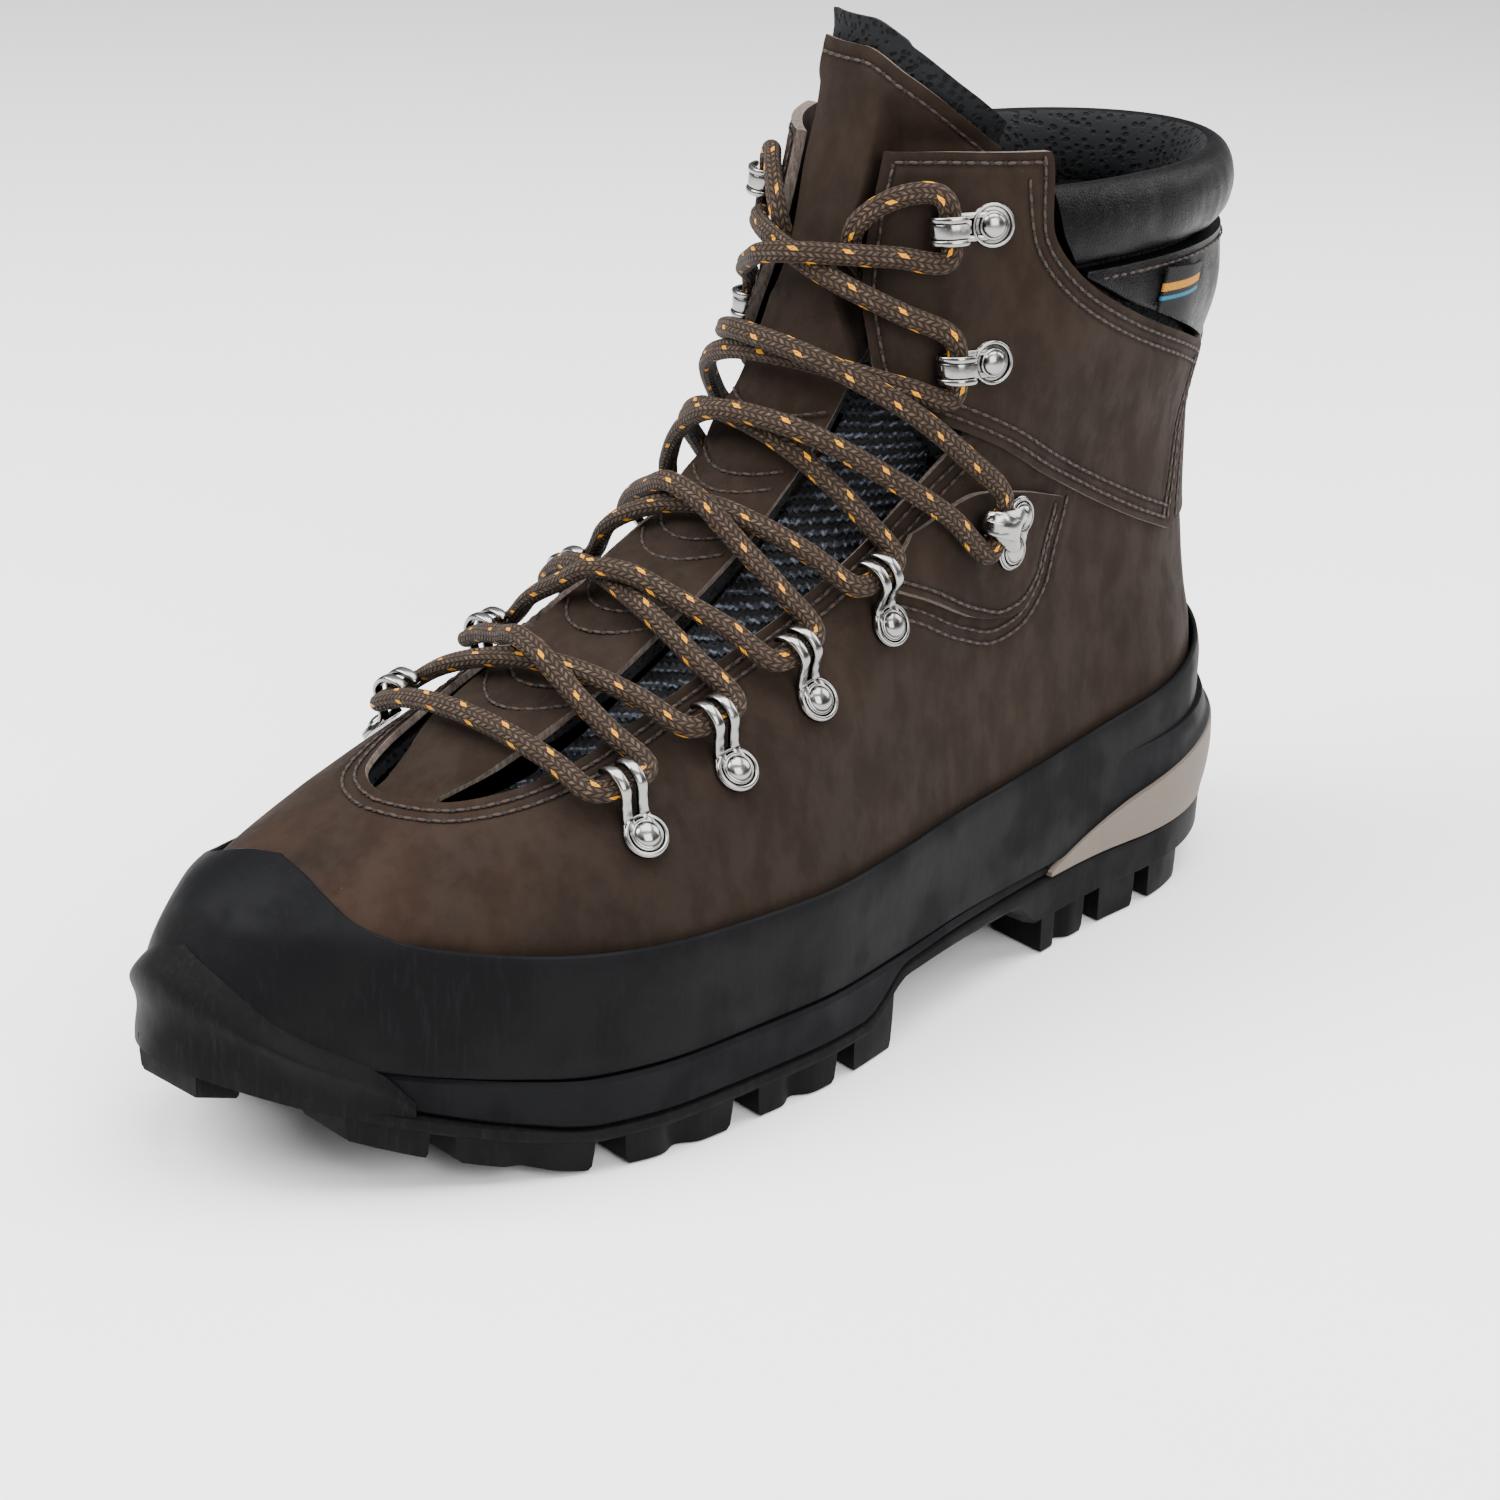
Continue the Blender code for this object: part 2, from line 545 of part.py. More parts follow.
def make_gussets():
    for side, sign in (("lateral", 1), ("medial", -1)):
        z = np.array([74, 80, 88, 97, 107, 118, 127])
        inner = smooth(z, TONGUE_Z, TONGUE_LATERAL) + 0.012
        outer = np.array([0.155, 0.195, 0.225, 0.27, 0.295, 0.32, 0.25])
        v = np.linspace(0, 1, 4)[None]
        a = sign * (inner[:, None] * (1 - v) + outer[:, None] * v)
        if sign < 0:
            a = a[:, ::-1]
        z = np.broadcast_to(z[:, None], a.shape)
        verts, faces = shell_mesh(skin(a, z, GUSSET[1]), skin(a, z, GUSSET[0]))
        add_object("gusset_" + side, verts, faces, "webbing")


# Lace hardware, as (name, a, z, towards a, towards z, kind) on the lateral side.
HARDWARE = [
    ("eyelet_1", 0.262, 65.2, 0.191, 73.2, "eyelet"),
    ("eyelet_2", 0.292, 72.8, 0.227, 80.6, "eyelet"),
    ("eyelet_3", 0.323, 81.3, 0.265, 89.2, "eyelet"),
    ("eyelet_4", 0.362, 91.2, 0.307, 99.3, "eyelet"),
    ("ankle_hook", 0.452, 102.6, 0.39, 107.0, "lock"),
    ("hook_1", 0.302, 140.2, 0.243, 140.0, "hook"),
    ("hook_2", 0.249, 169.0, 0.182, 168.2, "hook"),
]
PLATE = 0.9
SEAT = {"eyelet": 0.5, "lock": 2.7, "hook": 0.4}
# Each strip is drawn from its rear end, as (ahead, out, width).
EYELET_PATH = [(-5.4, 0.5, 6.0), (-2.0, 0.5, 9.4), (3.0, 0.5, 8.0), (4.8, 3.0, 6.4), (7.4, 6.3, 6.4),
               (11.0, 6.3, 6.4), (13.3, 3.6, 6.4), (13.6, 1.4, 6.0)]
HOOK_PATH = [(-5.2, 0.5, 6.0), (-2.0, 0.5, 9.0), (3.0, 0.5, 7.2), (9.8, 0.6, 6.4), (12.2, 2.2, 5.6),
             (12.2, 4.9, 5.6), (9.8, 7.1, 6.2), (5.4, 6.9, 5.0)]
LACE_SEAT = {"eyelet": (9.1, 3.05), "lock": (8.3, 3.45), "hook": (8.3, 3.45)}
RIVET_PROFILE = [(3.3, 0.0), (3.3, 0.7), (2.1, 1.5), (0.0, 1.75)]
RIVET_SIDES = 10


def hardware_frame(place, side):
    """Foot point on the skin, direction towards the throat, direction up the throat and outward normal."""
    _, a, z, a2, z2, kind = place
    shift = MEDIAL_SHIFT if side < 0 and z > 125 else 0
    a, a2 = side * (a + shift), side * (a2 + shift)
    foot = skin(a, z, 0.0)
    normal = skin(a, z, 1.0) - foot
    ahead = skin(a2, z2, 0.0) - foot
    ahead -= normal * (ahead @ normal)
    ahead /= np.linalg.norm(ahead)
    along = np.cross(ahead, normal) * side
    return foot + normal * SEAT[kind], ahead, along, normal


def strip(path, thickness, frame):
    """A bent metal strip: a path of (ahead, out, width) points thickened and drawn out sideways."""
    foot, ahead, along, normal = frame
    path = np.asarray(path, float)
    widths = np.concatenate([path[:, 2], path[::-1, 2]])
    path = path[:, :2]
    step = np.gradient(path, axis=0)
    step /= np.linalg.norm(step, axis=1, keepdims=True)
    across = np.stack([-step[:, 1], step[:, 0]], -1) * thickness / 2
    edge = np.concatenate([path + across, (path - across)[::-1]])
    verts = [foot + ahead * u + normal * h + along * w * side
             for side in (-0.5, 0.5) for (u, h), w in zip(edge, widths)]
    count = len(edge)
    half = len(path)
    faces = []
    for j in range(half - 1):
        quad = [j, j + 1, count - 2 - j, count - 1 - j]
        faces += [quad, [count + v for v in quad[::-1]]]
    faces += [[(j + 1) % count, j, count + j, count + (j + 1) % count] for j in range(count)]
    return verts, faces


def closed_outward(name, verts, faces, slot):
    """Adds an object after turning all of its faces outwards."""
    obj = add_object(name, verts, faces, slot)
    work = bmesh.new()
    work.from_mesh(obj.data)
    bmesh.ops.recalc_face_normals(work, faces=work.faces)
    work.to_mesh(obj.data)
    work.free()
    return obj


def rivet(name, frame, ahead_by, along_by):
    foot, ahead, along, normal = frame
    centre = foot + ahead * ahead_by + along * along_by + normal * (0.5 + PLATE / 2 + GAP)
    turn = 2 * np.pi * np.arange(RIVET_SIDES) / RIVET_SIDES
    verts = [centre + normal * h + r * (ahead * math.cos(t) + along * math.sin(t))
             for r, h in RIVET_PROFILE[:-1] for t in turn]
    verts.append(centre + normal * RIVET_PROFILE[-1][1])
    n, rings, top = RIVET_SIDES, len(RIVET_PROFILE) - 1, len(verts) - 1
    faces = tube_faces(rings, n)[:1] + tube_faces(rings, n)[2:]
    faces += [[(rings - 1) * n + j, (rings - 1) * n + (j + 1) % n, top] for j in range(n)]
    closed_outward(name, verts, faces, "nickel")


def make_hardware():
    for side, word in ((1, "lateral"), (-1, "medial")):
        for place in HARDWARE:
            frame = hardware_frame(place, side)
            kind = place[-1]
            path = EYELET_PATH if kind == "eyelet" else HOOK_PATH
            name = place[0] + "_" + word
            closed_outward(name, *strip(path, PLATE, frame), "nickel")
            if kind == "lock":
                rivet("rivet_a_" + name, frame, -1.8, 3.8)
                rivet("rivet_b_" + name, frame, -1.8, -3.8)
            else:
                rivet("rivet_" + name, frame, -1.6, 0)


LACE_RADIUS = 2.2
LACE_STEP = 12
TURN_HALF = 6.4
TURN_BEND = 1.2
STRAND_LIFT = 4.9
STRAND_ARCH = 24
TUCK = [(0.165, 175.5, 4.0), (0.115, 173.5, 3.8), (0.07, 167.5, 3.0), (0.064, 162.5, 0.2), (0.09, 158, -5.2),
        (0.13, 152.5, -8.4)]
TIP = [(0.158, 149, -8.0), (0.186, 141, -8.0), (0.196, 132, -8.0)]


def lace_seat(row, side):
    """Points of the lace's turn through one piece of hardware, from its lower to its upper side."""
    frame = hardware_frame(HARDWARE[row], side)
    foot, ahead, along, normal = frame
    u, h = LACE_SEAT[HARDWARE[row][-1]]
    centre = foot + ahead * u + normal * h
    return [centre + along * TURN_HALF * side_share + ahead * (TURN_BEND * side_share ** 2)
            for side_share in (-1, 0, 1)]


def locate(point):
    """Position (a, z, out) of a point near the skin, by a search that narrows step by step."""
    a, z, reach_a, reach_z = 0.0, point[2], 0.5, 20.0
    for _ in range(9):
        spread = np.linspace(-1, 1, 9)
        some_a, some_z = np.meshgrid(a + reach_a * spread, z + reach_z * spread)
        gap = np.linalg.norm(form(some_a, some_z) - point, axis=-1)
        best = np.unravel_index(gap.argmin(), gap.shape)
        a, z = some_a[best], some_z[best]
        reach_a, reach_z = reach_a * 0.45, reach_z * 0.45
    return np.array([a, z, gap.min()])


def strand(start, end, lift):
    """Points of the shortest way from one turn to the next, lifted where this strand crosses the other.

    The straight line between the turns is arched clear of the boot and then laid back onto its skin.
    """
    start_out, end_out = locate(start)[2], locate(end)[2]
    points = []
    for u in (0.12, 0.27, 0.42, 0.58, 0.73, 0.88):
        point = start * (1 - u) + end * u
        ahead = skin(0.0, point[2] + 8, STRAND_ARCH) - skin(0.0, point[2] + 8)
        a, z, _ = locate(point + ahead * math.sin(math.pi * u))
        out = start_out * (1 - u) + end_out * u
        points.append(skin(a, z, out * 0.85 + 0.6 + lift * math.exp(-((u - 0.5) / 0.17) ** 2)))
    return points


def lace_half(side):
    """One half of the lace, from the first eyelet of a side up to its tucked-in end."""
    points = lace_seat(0, side)
    for row in range(len(HARDWARE) - 1):
        turn = lace_seat(row + 1, -side)
        points += strand(points[-1], turn[0], STRAND_LIFT if (row % 2 == 0) == (side > 0) else 0.0)
        side = -side
        points += turn
    return points, side


def tuck(side, places):
    """Points on one side's tucked-in stretch; the medial ankle panel stands further from the ridge."""
    shift = MEDIAL_SHIFT if side < 0 else 0
    return [skin(side * (a + shift), z, out) for a, z, out in places]


def curve_tube(name, points, radius, slot, resolution=2):
    data = bpy.data.curves.new(name, "CURVE")
    data.dimensions = "3D"
    data.bevel_depth = radius * MM
    data.bevel_resolution = resolution
    data.use_fill_caps = True
    spline = data.splines.new("POLY")
    spline.points.add(len(points) - 1)
    for point, where in zip(spline.points, points):
        point.co = (*((np.asarray(where) - BOX_CENTRE) * MM), 1)
    data.materials.append(MATERIALS[slot])
    obj = bpy.data.objects.new(name, data)
    bpy.context.collection.objects.link(obj)
    return obj


def smooth_route(points, longest):
    """Points along a centripetal Catmull-Rom curve through the route, each step no longer than given."""
    points = np.asarray(points, float)
    full = np.concatenate([[2 * points[0] - points[1]], points, [2 * points[-1] - points[-2]]])
    fine = []
    for p0, p1, p2, p3 in zip(full, full[1:], full[2:], full[3:]):
        knots = np.cumsum([0] + [np.linalg.norm(q - p) ** 0.5 for p, q in ((p0, p1), (p1, p2), (p2, p3))])
        steps = max(1, math.ceil(np.linalg.norm(p2 - p1) / longest))
        for t in np.linspace(knots[1], knots[2], steps, endpoint=False):
            line = [((knots[i + 1] - t) * p + (t - knots[i]) * q) / (knots[i + 1] - knots[i])
                    for i, (p, q) in enumerate(((p0, p1), (p1, p2), (p2, p3)))]
            arc = [((knots[i + 2] - t) * line[i] + (t - knots[i]) * line[i + 1]) / (knots[i + 2] - knots[i])
                   for i in (0, 1)]
            fine.append(((knots[2] - t) * arc[0] + (t - knots[1]) * arc[1]) / (knots[2] - knots[1]))
    return np.array(fine + [points[-1]])


def make_lace():
    one, end_one = lace_half(1)
    other, end_other = lace_half(-1)
    one += tuck(end_one, TUCK)
    other += tuck(end_other, TUCK)
    bar = strand(other[0], one[0], 0.0)
    points = smooth_route(other[::-1] + bar + one, LACE_STEP)
    curve_tube("lace", points, LACE_RADIUS, "lace")
    for side, word in ((1, "lateral"), (-1, "medial")):
        curve_tube("lace_tip_" + word, tuck(side, TIP), 1.4, "lace_tip")


def make_boards():
    level = cleared(2.0)(np.array([0.0]), None)[0]
    low, high = level - 1.7, level - 0.3
    corners = [(-9, -45), (9, -45), (9, 95), (-9, 95)]
    verts = [(x, y, z) for z in (low, high) for x, y in corners]
    faces = [[3, 2, 1, 0], [4, 5, 6, 7]] + [[j, (j + 1) % 4, 4 + (j + 1) % 4, 4 + j] for j in range(4)]
    add_object("shank", verts, faces, "steel")
    inset = lambda y, a: np.full_like(y, -7.4)
    loops = [sole_loop(cleared(4.2), inset), sole_loop(cleared(8.4), inset)]
    add_object("insole", *slab_mesh(loops), "insole_foam", origin=INSOLE_PIVOT)


def make_tag():
    low = [(0.545, 145.3), (0.58, 143), (0.625, 140)]
    high = [(0.545, 155), (0.58, 154.6), (0.625, 154.2)]
    panel("side_tag", "tag", low, high, (1.6, 2.4), 3)


def main():
    for obj in list(bpy.data.objects):
        bpy.data.objects.remove(obj, do_unlink=True)
    material("outsole_rubber", (0.03, 0.03, 0.032), 0.75)
    material("midsole_rubber", (0.025, 0.026, 0.03), 0.7)
    material("rand_rubber", (0.03, 0.031, 0.033), 0.65)
    material("insert", (0.35, 0.3, 0.25), 0.7)
    material("board", (0.45, 0.4, 0.3), 0.9)
    material("steel", (0.5, 0.5, 0.52), 0.35, 1.0)
    material("insole_foam", (0.03, 0.03, 0.03), 0.9)
    material("nubuck", (0.055, 0.036, 0.025), 0.85)
    material("collar_leather", (0.012, 0.012, 0.013), 0.45)
    material("mesh_lining", (0.015, 0.015, 0.016), 0.9)
    material("webbing", (0.012, 0.012, 0.014), 0.8)
    material("nickel", (0.75, 0.74, 0.72), 0.2, 1.0)
    material("lace", (0.08, 0.055, 0.04), 0.85)
    material("lace_tip", (0.03, 0.025, 0.02), 0.4)
    material("tag", (0.02, 0.02, 0.025), 0.8)
    make_sole()
    make_boards()
    make_lower()
    make_shaft()
    make_collar_roll()
    make_tag()
    make_gussets()
    make_tongue()
    make_hardware()
    make_lace()


main()
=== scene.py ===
"""Looks of the left hiking boot: fine leather panels, stitching, braided lace, nickel hardware and rubber.

The boot's skin is one function, form(a, z): a runs from the front ridge (0) round the lateral side to
the back seam (1) and round the medial side (-1); z is the height. Lengths are in millimetres, and every
mesh is turned into metres as it is made. Toe towards -Y, heel towards +Y, lateral side towards +X.
"""

import json
import math

import bmesh
import bpy
import numpy as np
from mathutils import Matrix, Vector, noise
from mathutils.kdtree import KDTree

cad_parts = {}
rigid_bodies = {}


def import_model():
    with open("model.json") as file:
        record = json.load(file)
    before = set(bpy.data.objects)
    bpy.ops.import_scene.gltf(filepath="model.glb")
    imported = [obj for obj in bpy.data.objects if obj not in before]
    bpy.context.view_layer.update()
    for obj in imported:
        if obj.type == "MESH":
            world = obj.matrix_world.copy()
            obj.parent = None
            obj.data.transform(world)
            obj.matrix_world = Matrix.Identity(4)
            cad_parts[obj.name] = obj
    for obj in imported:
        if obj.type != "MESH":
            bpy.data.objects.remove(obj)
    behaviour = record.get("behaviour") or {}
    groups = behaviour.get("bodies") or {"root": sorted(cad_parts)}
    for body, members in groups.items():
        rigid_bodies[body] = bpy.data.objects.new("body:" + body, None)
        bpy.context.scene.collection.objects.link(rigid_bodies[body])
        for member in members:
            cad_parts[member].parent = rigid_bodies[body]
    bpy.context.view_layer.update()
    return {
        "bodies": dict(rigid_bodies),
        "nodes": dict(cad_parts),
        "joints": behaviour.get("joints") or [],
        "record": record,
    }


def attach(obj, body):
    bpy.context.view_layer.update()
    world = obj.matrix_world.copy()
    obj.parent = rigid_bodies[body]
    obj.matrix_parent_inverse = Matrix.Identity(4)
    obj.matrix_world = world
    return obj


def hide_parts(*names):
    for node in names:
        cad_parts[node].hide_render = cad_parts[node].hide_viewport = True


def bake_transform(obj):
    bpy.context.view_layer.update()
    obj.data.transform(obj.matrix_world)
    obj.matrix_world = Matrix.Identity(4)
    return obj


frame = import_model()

MM = 0.001
SIDES = ((1, "lateral"), (-1, "medial"))
CORNERS = ((-1, -1), (1, -1), (1, 1), (-1, 1))
rng = np.random.default_rng(7)

# Steps round and up the skin over which its slope is taken.
STEP_A = 1e-3
STEP_Z = 0.3
# Beyond this the skin counts as the back seam, where both sides meet square to the middle.
BACK_SEAM = 0.998

# The middle of the boot's box, where the frame has its origin, seen from the last's own origin.
ORIGIN = np.array([1.146, 3.8, 0])

# The skin of the upper, station by station up the boot.
LEVELS = [20, 35, 50, 60, 70, 80, 95, 110, 130, 150, 175, 205]
FRONT_Y = [-143, -143, -137, -120, -95, -70, -40, -13, 7, 18, 26, 33]
BACK_Y = [147, 149, 149, 148, 146, 145, 144, 144, 146, 147, 148, 147]
SHAFT_SHARE = [0, 0, 0.12, 0.25, 0.38, 0.52, 0.75, 0.9, 1, 1, 1, 1]
FRONT_CAP = [80, 80, 78, 78, 78, 78, 75, 70, 62, 60, 58, 56]
BACK_CAP = [50, 50, 50, 50, 52, 54, 56, 58, 60, 60, 60, 60]
SHAFT_LATERAL = [36, 36, 36, 35, 34, 33, 33, 33, 36, 38, 39, 39]
SHAFT_MEDIAL = [30, 30, 28, 26, 26, 28, 31, 33, 36, 38, 39, 39]
FOOT_Y = [-150, -120, -90, -60, -30, 0, 30, 60, 90, 120, 150]
FOOT_LATERAL = [42, 44, 48, 50, 50, 47, 43, 40, 38, 38, 38]
FOOT_MEDIAL = [37, 40, 45, 48, 44, 37, 33, 32, 34, 36, 37]
CENTRE_Y = [-150, -110, -70, -20, 30, 150]
CENTRE_X = [-11, -6, -1, 1, 0, 0]

# The sole.
SOLE_LEVEL = 25
FOOT_BASE = 20
TOE_SPRING_Y = [-152, -143, -130, -115, -98, -84, 150]
TOE_SPRING = [20.5, 17.5, 12.5, 7, 2.5, 0, 0]
TOE_SPRING_SHARE = 0.62
SLAB_SPRING_SHARE = 0.97
CUP_OUT = 5.8
SLAB_Y = [-150, -12, 4, 48, 58, 150]
SLAB_BOTTOM = [4.2, 4.2, 12.5, 12.5, 6, 6]
SLAB_TOP = [9.5, 9.5, 17.5, 17.5, 17.5, 17.5]
SIDE_LUGS = [(-128, -115), (-111, -86), (-80, -53), (-46, -22), (-16, -1), (60, 78), (84, 98), (104, 120)]
INSOLE_STEPS = ((4.2, 8.4), (4.9, 7.4), (7.6, 7.4), (8.4, 8.4))
CENTRE_LUGS = (-116, -95, -74, -53, -32, -11, 72, 92, 112)
WRAP_A = [0, 0.05, 0.12, 0.18, 0.2]
WRAP_Z = [46, 43, 34.5, 25.5, 19]
RAND_A = [0, 0.04, 0.09, 0.14, 0.2, 0.3, 0.45, 0.6, 0.75, 0.9, 1]
RAND_Z = [60, 59, 56.5, 53, 49.5, 45.5, 43.3, 45.8, 52, 59, 62]
INSERT_A = [0.64, 0.68, 0.76, 0.86, 1]
INSERT_Z = [18.8, 24, 31, 36, 38]

# Edges of the upper's panels, as (a, z) or a against z.
THROAT_A = [0, 0.075, 0.12, 0.15, 0.174, 0.204, 0.246, 0.27, 0.295, 0.33]
THROAT_Z = [69, 69.5, 71.5, 75.5, 82.1, 89, 97.4, 104, 113, 124]
BACK_LOW = 88.5
PANEL_LOW = [(0.224, 131), (0.29, 127.5), (0.383, 121.1), (0.488, 111.2), (0.593, 101.3),
             (0.665, 94.6), (0.737, 88.5)]
PANEL_HIGH = [(0.084, 183), (0.2, 184), (0.316, 184), (0.345, 167), (0.4, 157), (0.5, 147), (0.738, 130.5)]
PANEL_FRONT = [(0.224, 131), (0.174, 136), (0.132, 145), (0.1, 155), (0.088, 164), (0.084, 173),
               (0.084, 183)]
MEDIAL_SHIFT = 0.045
SEAM_Z = [130.5, 147, 157, 167, 184]
SEAM_A = [0.75, 0.51, 0.412, 0.357, 0.328]
WING_LOW = [(0.335, 97), (0.4, 92.5), (0.47, 86), (0.545, 79)]
WING_HIGH = [(0.325, 106), (0.385, 112), (0.45, 110), (0.513, 106.5)]
TONGUE_Z = [70.6, 76, 84, 97, 125, 150, 168, 180, 204]
TONGUE_LATERAL = [0.05, 0.085, 0.1, 0.115, 0.125, 0.13, 0.145, 0.27, 0.27]
TONGUE_MEDIAL = [0.05, 0.085, 0.1, 0.115, 0.12, 0.115, 0.115, 0.12, 0.12]
GUSSET_Z = [70.5, 74, 80, 88, 97, 107, 118, 127, 137]
GUSSET_A = [0.12, 0.155, 0.195, 0.225, 0.27, 0.295, 0.32, 0.26, 0.21]
TONGUE_TOP_A = [-0.12, 0.0, 0.1, 0.2, 0.27]
TONGUE_TOP_Z = [203.5, 203.5, 198.5, 190.5, 184]


def smooth(x, xs, ys):
    """A monotone cubic through the stations (xs, ys), held level beyond both ends."""
    xs, ys, x = (np.asarray(v, float) for v in (xs, ys, x))
    step = np.diff(xs)
    climb = np.diff(ys) / step
    slope = np.zeros(len(xs))
    slope[0], slope[-1] = climb[0], climb[-1]
    for i in range(1, len(xs) - 1):
        if climb[i - 1] * climb[i] > 0:
            before, after = 2 * step[i] + step[i - 1], step[i] + 2 * step[i - 1]
            slope[i] = (before + after) / (before / climb[i - 1] + after / climb[i])
    i = np.clip(np.searchsorted(xs, x) - 1, 0, len(xs) - 2)
    t = np.clip((x - xs[i]) / step[i], 0, 1)
    start = (1 + 2 * t) * (1 - t) ** 2 * ys[i] + t * (1 - t) ** 2 * step[i] * slope[i]
    end = t * t * (3 - 2 * t) * ys[i + 1] + t * t * (t - 1) * step[i] * slope[i + 1]
    return start + end


def share(value, start, width):
    """How far a value is into a stretch, from 0 to 1."""
    return np.clip((value - start) / width, 0, 1)


def ease(t):
    return t * t * (3 - 2 * t)


def unit(vectors):
    return vectors / np.linalg.norm(vectors, axis=-1, keepdims=True)


def lengths(points):
    """How far along a line each of its points lies."""
    return np.concatenate([[0], np.cumsum(np.linalg.norm(np.diff(points, axis=0), axis=1))])


def turns(count):
    return 2 * np.pi * np.arange(count) / count


def folded(a):
    """Position a past the back seam, as its distance from the front on the medial side."""
    return np.where(a > 1, 2 - a, a)


def rise(low, high, rows):
    """Shares v up a grid, and its heights z between a lower and an upper edge."""
    v = np.linspace(0, 1, rows)[:, None]
    return v, (1 - v) * low + v * high


def form(a, z):
    """Points of the skin at position a round the boot and height z; a runs on past 1 to the medial side."""
    a, z = np.broadcast_arrays(np.asarray(a, float), np.asarray(z, float))
    a = np.where(a > 1, a - 2, a)
    front, back = smooth(z, LEVELS, FRONT_Y), smooth(z, LEVELS, BACK_Y)
    y = front + (back - front) * ((1 - np.cos(np.pi * np.abs(a))) / 2)
    lateral = a >= 0
    foot = np.where(lateral, smooth(y, FOOT_Y, FOOT_LATERAL), smooth(y, FOOT_Y, FOOT_MEDIAL))
    shaft = np.where(lateral, smooth(z, LEVELS, SHAFT_LATERAL), smooth(z, LEVELS, SHAFT_MEDIAL))
    k = smooth(z, LEVELS, SHAFT_SHARE)
    half = foot * (1 - k) + shaft * k
    into_front = share(y, front, smooth(z, LEVELS, FRONT_CAP))
    into_back = share(back, y, smooth(z, LEVELS, BACK_CAP))
    ends = np.sqrt(1 - (1 - into_front) ** 2) * np.sqrt(1 - (1 - into_back) ** 2)
    x = smooth(y, CENTRE_Y, CENTRE_X) * (1 - k) + np.where(lateral, 1, -1) * half * ends
    return np.stack([x, y, z], -1)


def steps_at(a, z):
    """The skin's small steps round and up at (a, z)."""
    across = form(a + STEP_A, z) - form(a - STEP_A, z)
    return across, form(a, z + STEP_Z) - form(a, z - STEP_Z)


def normal_at(a, z):
    """Outward unit normals of the skin."""
    a, z = np.broadcast_arrays(np.asarray(a, float), np.asarray(z, float))
    across, upwards = steps_at(a, z)
    seam = np.abs(np.where(a > 1, a - 2, a)) > BACK_SEAM
    across = np.where(seam[..., None], np.array([-1.0, 0, 0]), across)
    return unit(np.cross(across, upwards))


def skin(a, z, out=0.0):
    """Points a distance out from the skin, along its normal."""
    a, z, out = np.broadcast_arrays(*(np.asarray(v, float) for v in (a, z, out)))
    return form(a, z) + normal_at(a, z) * out[..., None]


def route(points, count):
    """Points (a, z) spaced evenly along a smooth line through the given ones."""
    points = np.asarray(points, float)
    along = lengths(form(points[:, 0], points[:, 1]))
    at = np.linspace(0, along[-1], count)
    return np.stack([smooth(at, along, points[:, k]) for k in (0, 1)], -1)


def beside(points, aside):
    """The route (a, z) moved sideways on the skin by a distance, to the left of its direction."""
    points = np.asarray(points, float)
    a, z = points[:, 0], points[:, 1]
    tangent = np.gradient(form(a, z), axis=0)
    sideways = np.cross(normal_at(a, z), tangent)
    sideways *= aside / np.linalg.norm(sideways, axis=1, keepdims=True)
    across, upwards = steps_at(a, z)
    by_both = np.stack([across / (2 * STEP_A), upwards / (2 * STEP_Z)], -1)
    moved = [np.linalg.lstsq(by, d, rcond=None)[0] for by, d in zip(by_both, sideways)]
    return points + np.array(moved)


def turned(points, side):
    """A lateral route (a, z) as it is, or its medial copy, in the same turning direction."""
    return list(points) if side > 0 else [(-a, z) for a, z in points][::-1]


def shifted(points, side):
    """As turned, with the medial copy's front part standing further from the ridge."""
    if side > 0:
        return list(points)
    return [(-a - MEDIAL_SHIFT * float(share(0.32, a, 0.1)), z) for a, z in points][::-1]


def ground(y):
    return smooth(y, TOE_SPRING_Y, TOE_SPRING)


def foot_base(a):
    """Height of the upper's lower edge, which rises under the toes."""
    return FOOT_BASE + TOE_SPRING_SHARE * ground(form(a, SOLE_LEVEL)[..., 1])


def top_of_lower(a):
    """Top edge of the lower leather: up the throat, then back below the ankle panel."""
    low_a, low_z = zip(*PANEL_LOW)
    under_panel = np.interp(np.abs(a), low_a, low_z) - 0.7
    return np.minimum(smooth(np.abs(a), THROAT_A, THROAT_Z), np.where(np.abs(a) > 0.28, under_panel, 200))


def waves(points, size, seed):
    """Smooth noise (-1 to 1) at points in millimetres, with bumps of about the given size."""
    flat = points.reshape(-1, 3) / size + seed
    return np.array([noise.noise(Vector(p)) for p in flat]).reshape(points.shape[:-1])


# ---------------------------------------------------------------- meshes


def finish_piece(obj, body, slot, *nodes):
    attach(obj, body)
    if nodes:
        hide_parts(*nodes)
    return obj


def mesh_object(name, verts, faces, materials, sharp=40, slots=None):
    """An object from vertices in millimetres."""
    mesh = bpy.data.meshes.new(name)
    mesh.from_pydata(((np.asarray(verts, float) - ORIGIN) * MM).tolist(), [], faces)
    for material in materials:
        mesh.materials.append(material)
    if slots is not None:
        mesh.polygons.foreach_set("material_index", np.asarray(slots, np.int32))
    mesh.shade_smooth()
    mesh.set_sharp_from_angle(angle=math.radians(sharp))
    return added(name, mesh)


def added(name, data):
    """A new object in the scene."""
    obj = bpy.data.objects.new(name, data)
    bpy.context.collection.objects.link(obj)
    return obj


def soften(obj, width, angle=50):
    """Rounds the edges that are sharper than an angle."""
    bevel = obj.modifiers.new("rim", "BEVEL")
    bevel.width = width * MM
    bevel.segments = 2
    bevel.angle_limit = math.radians(angle)


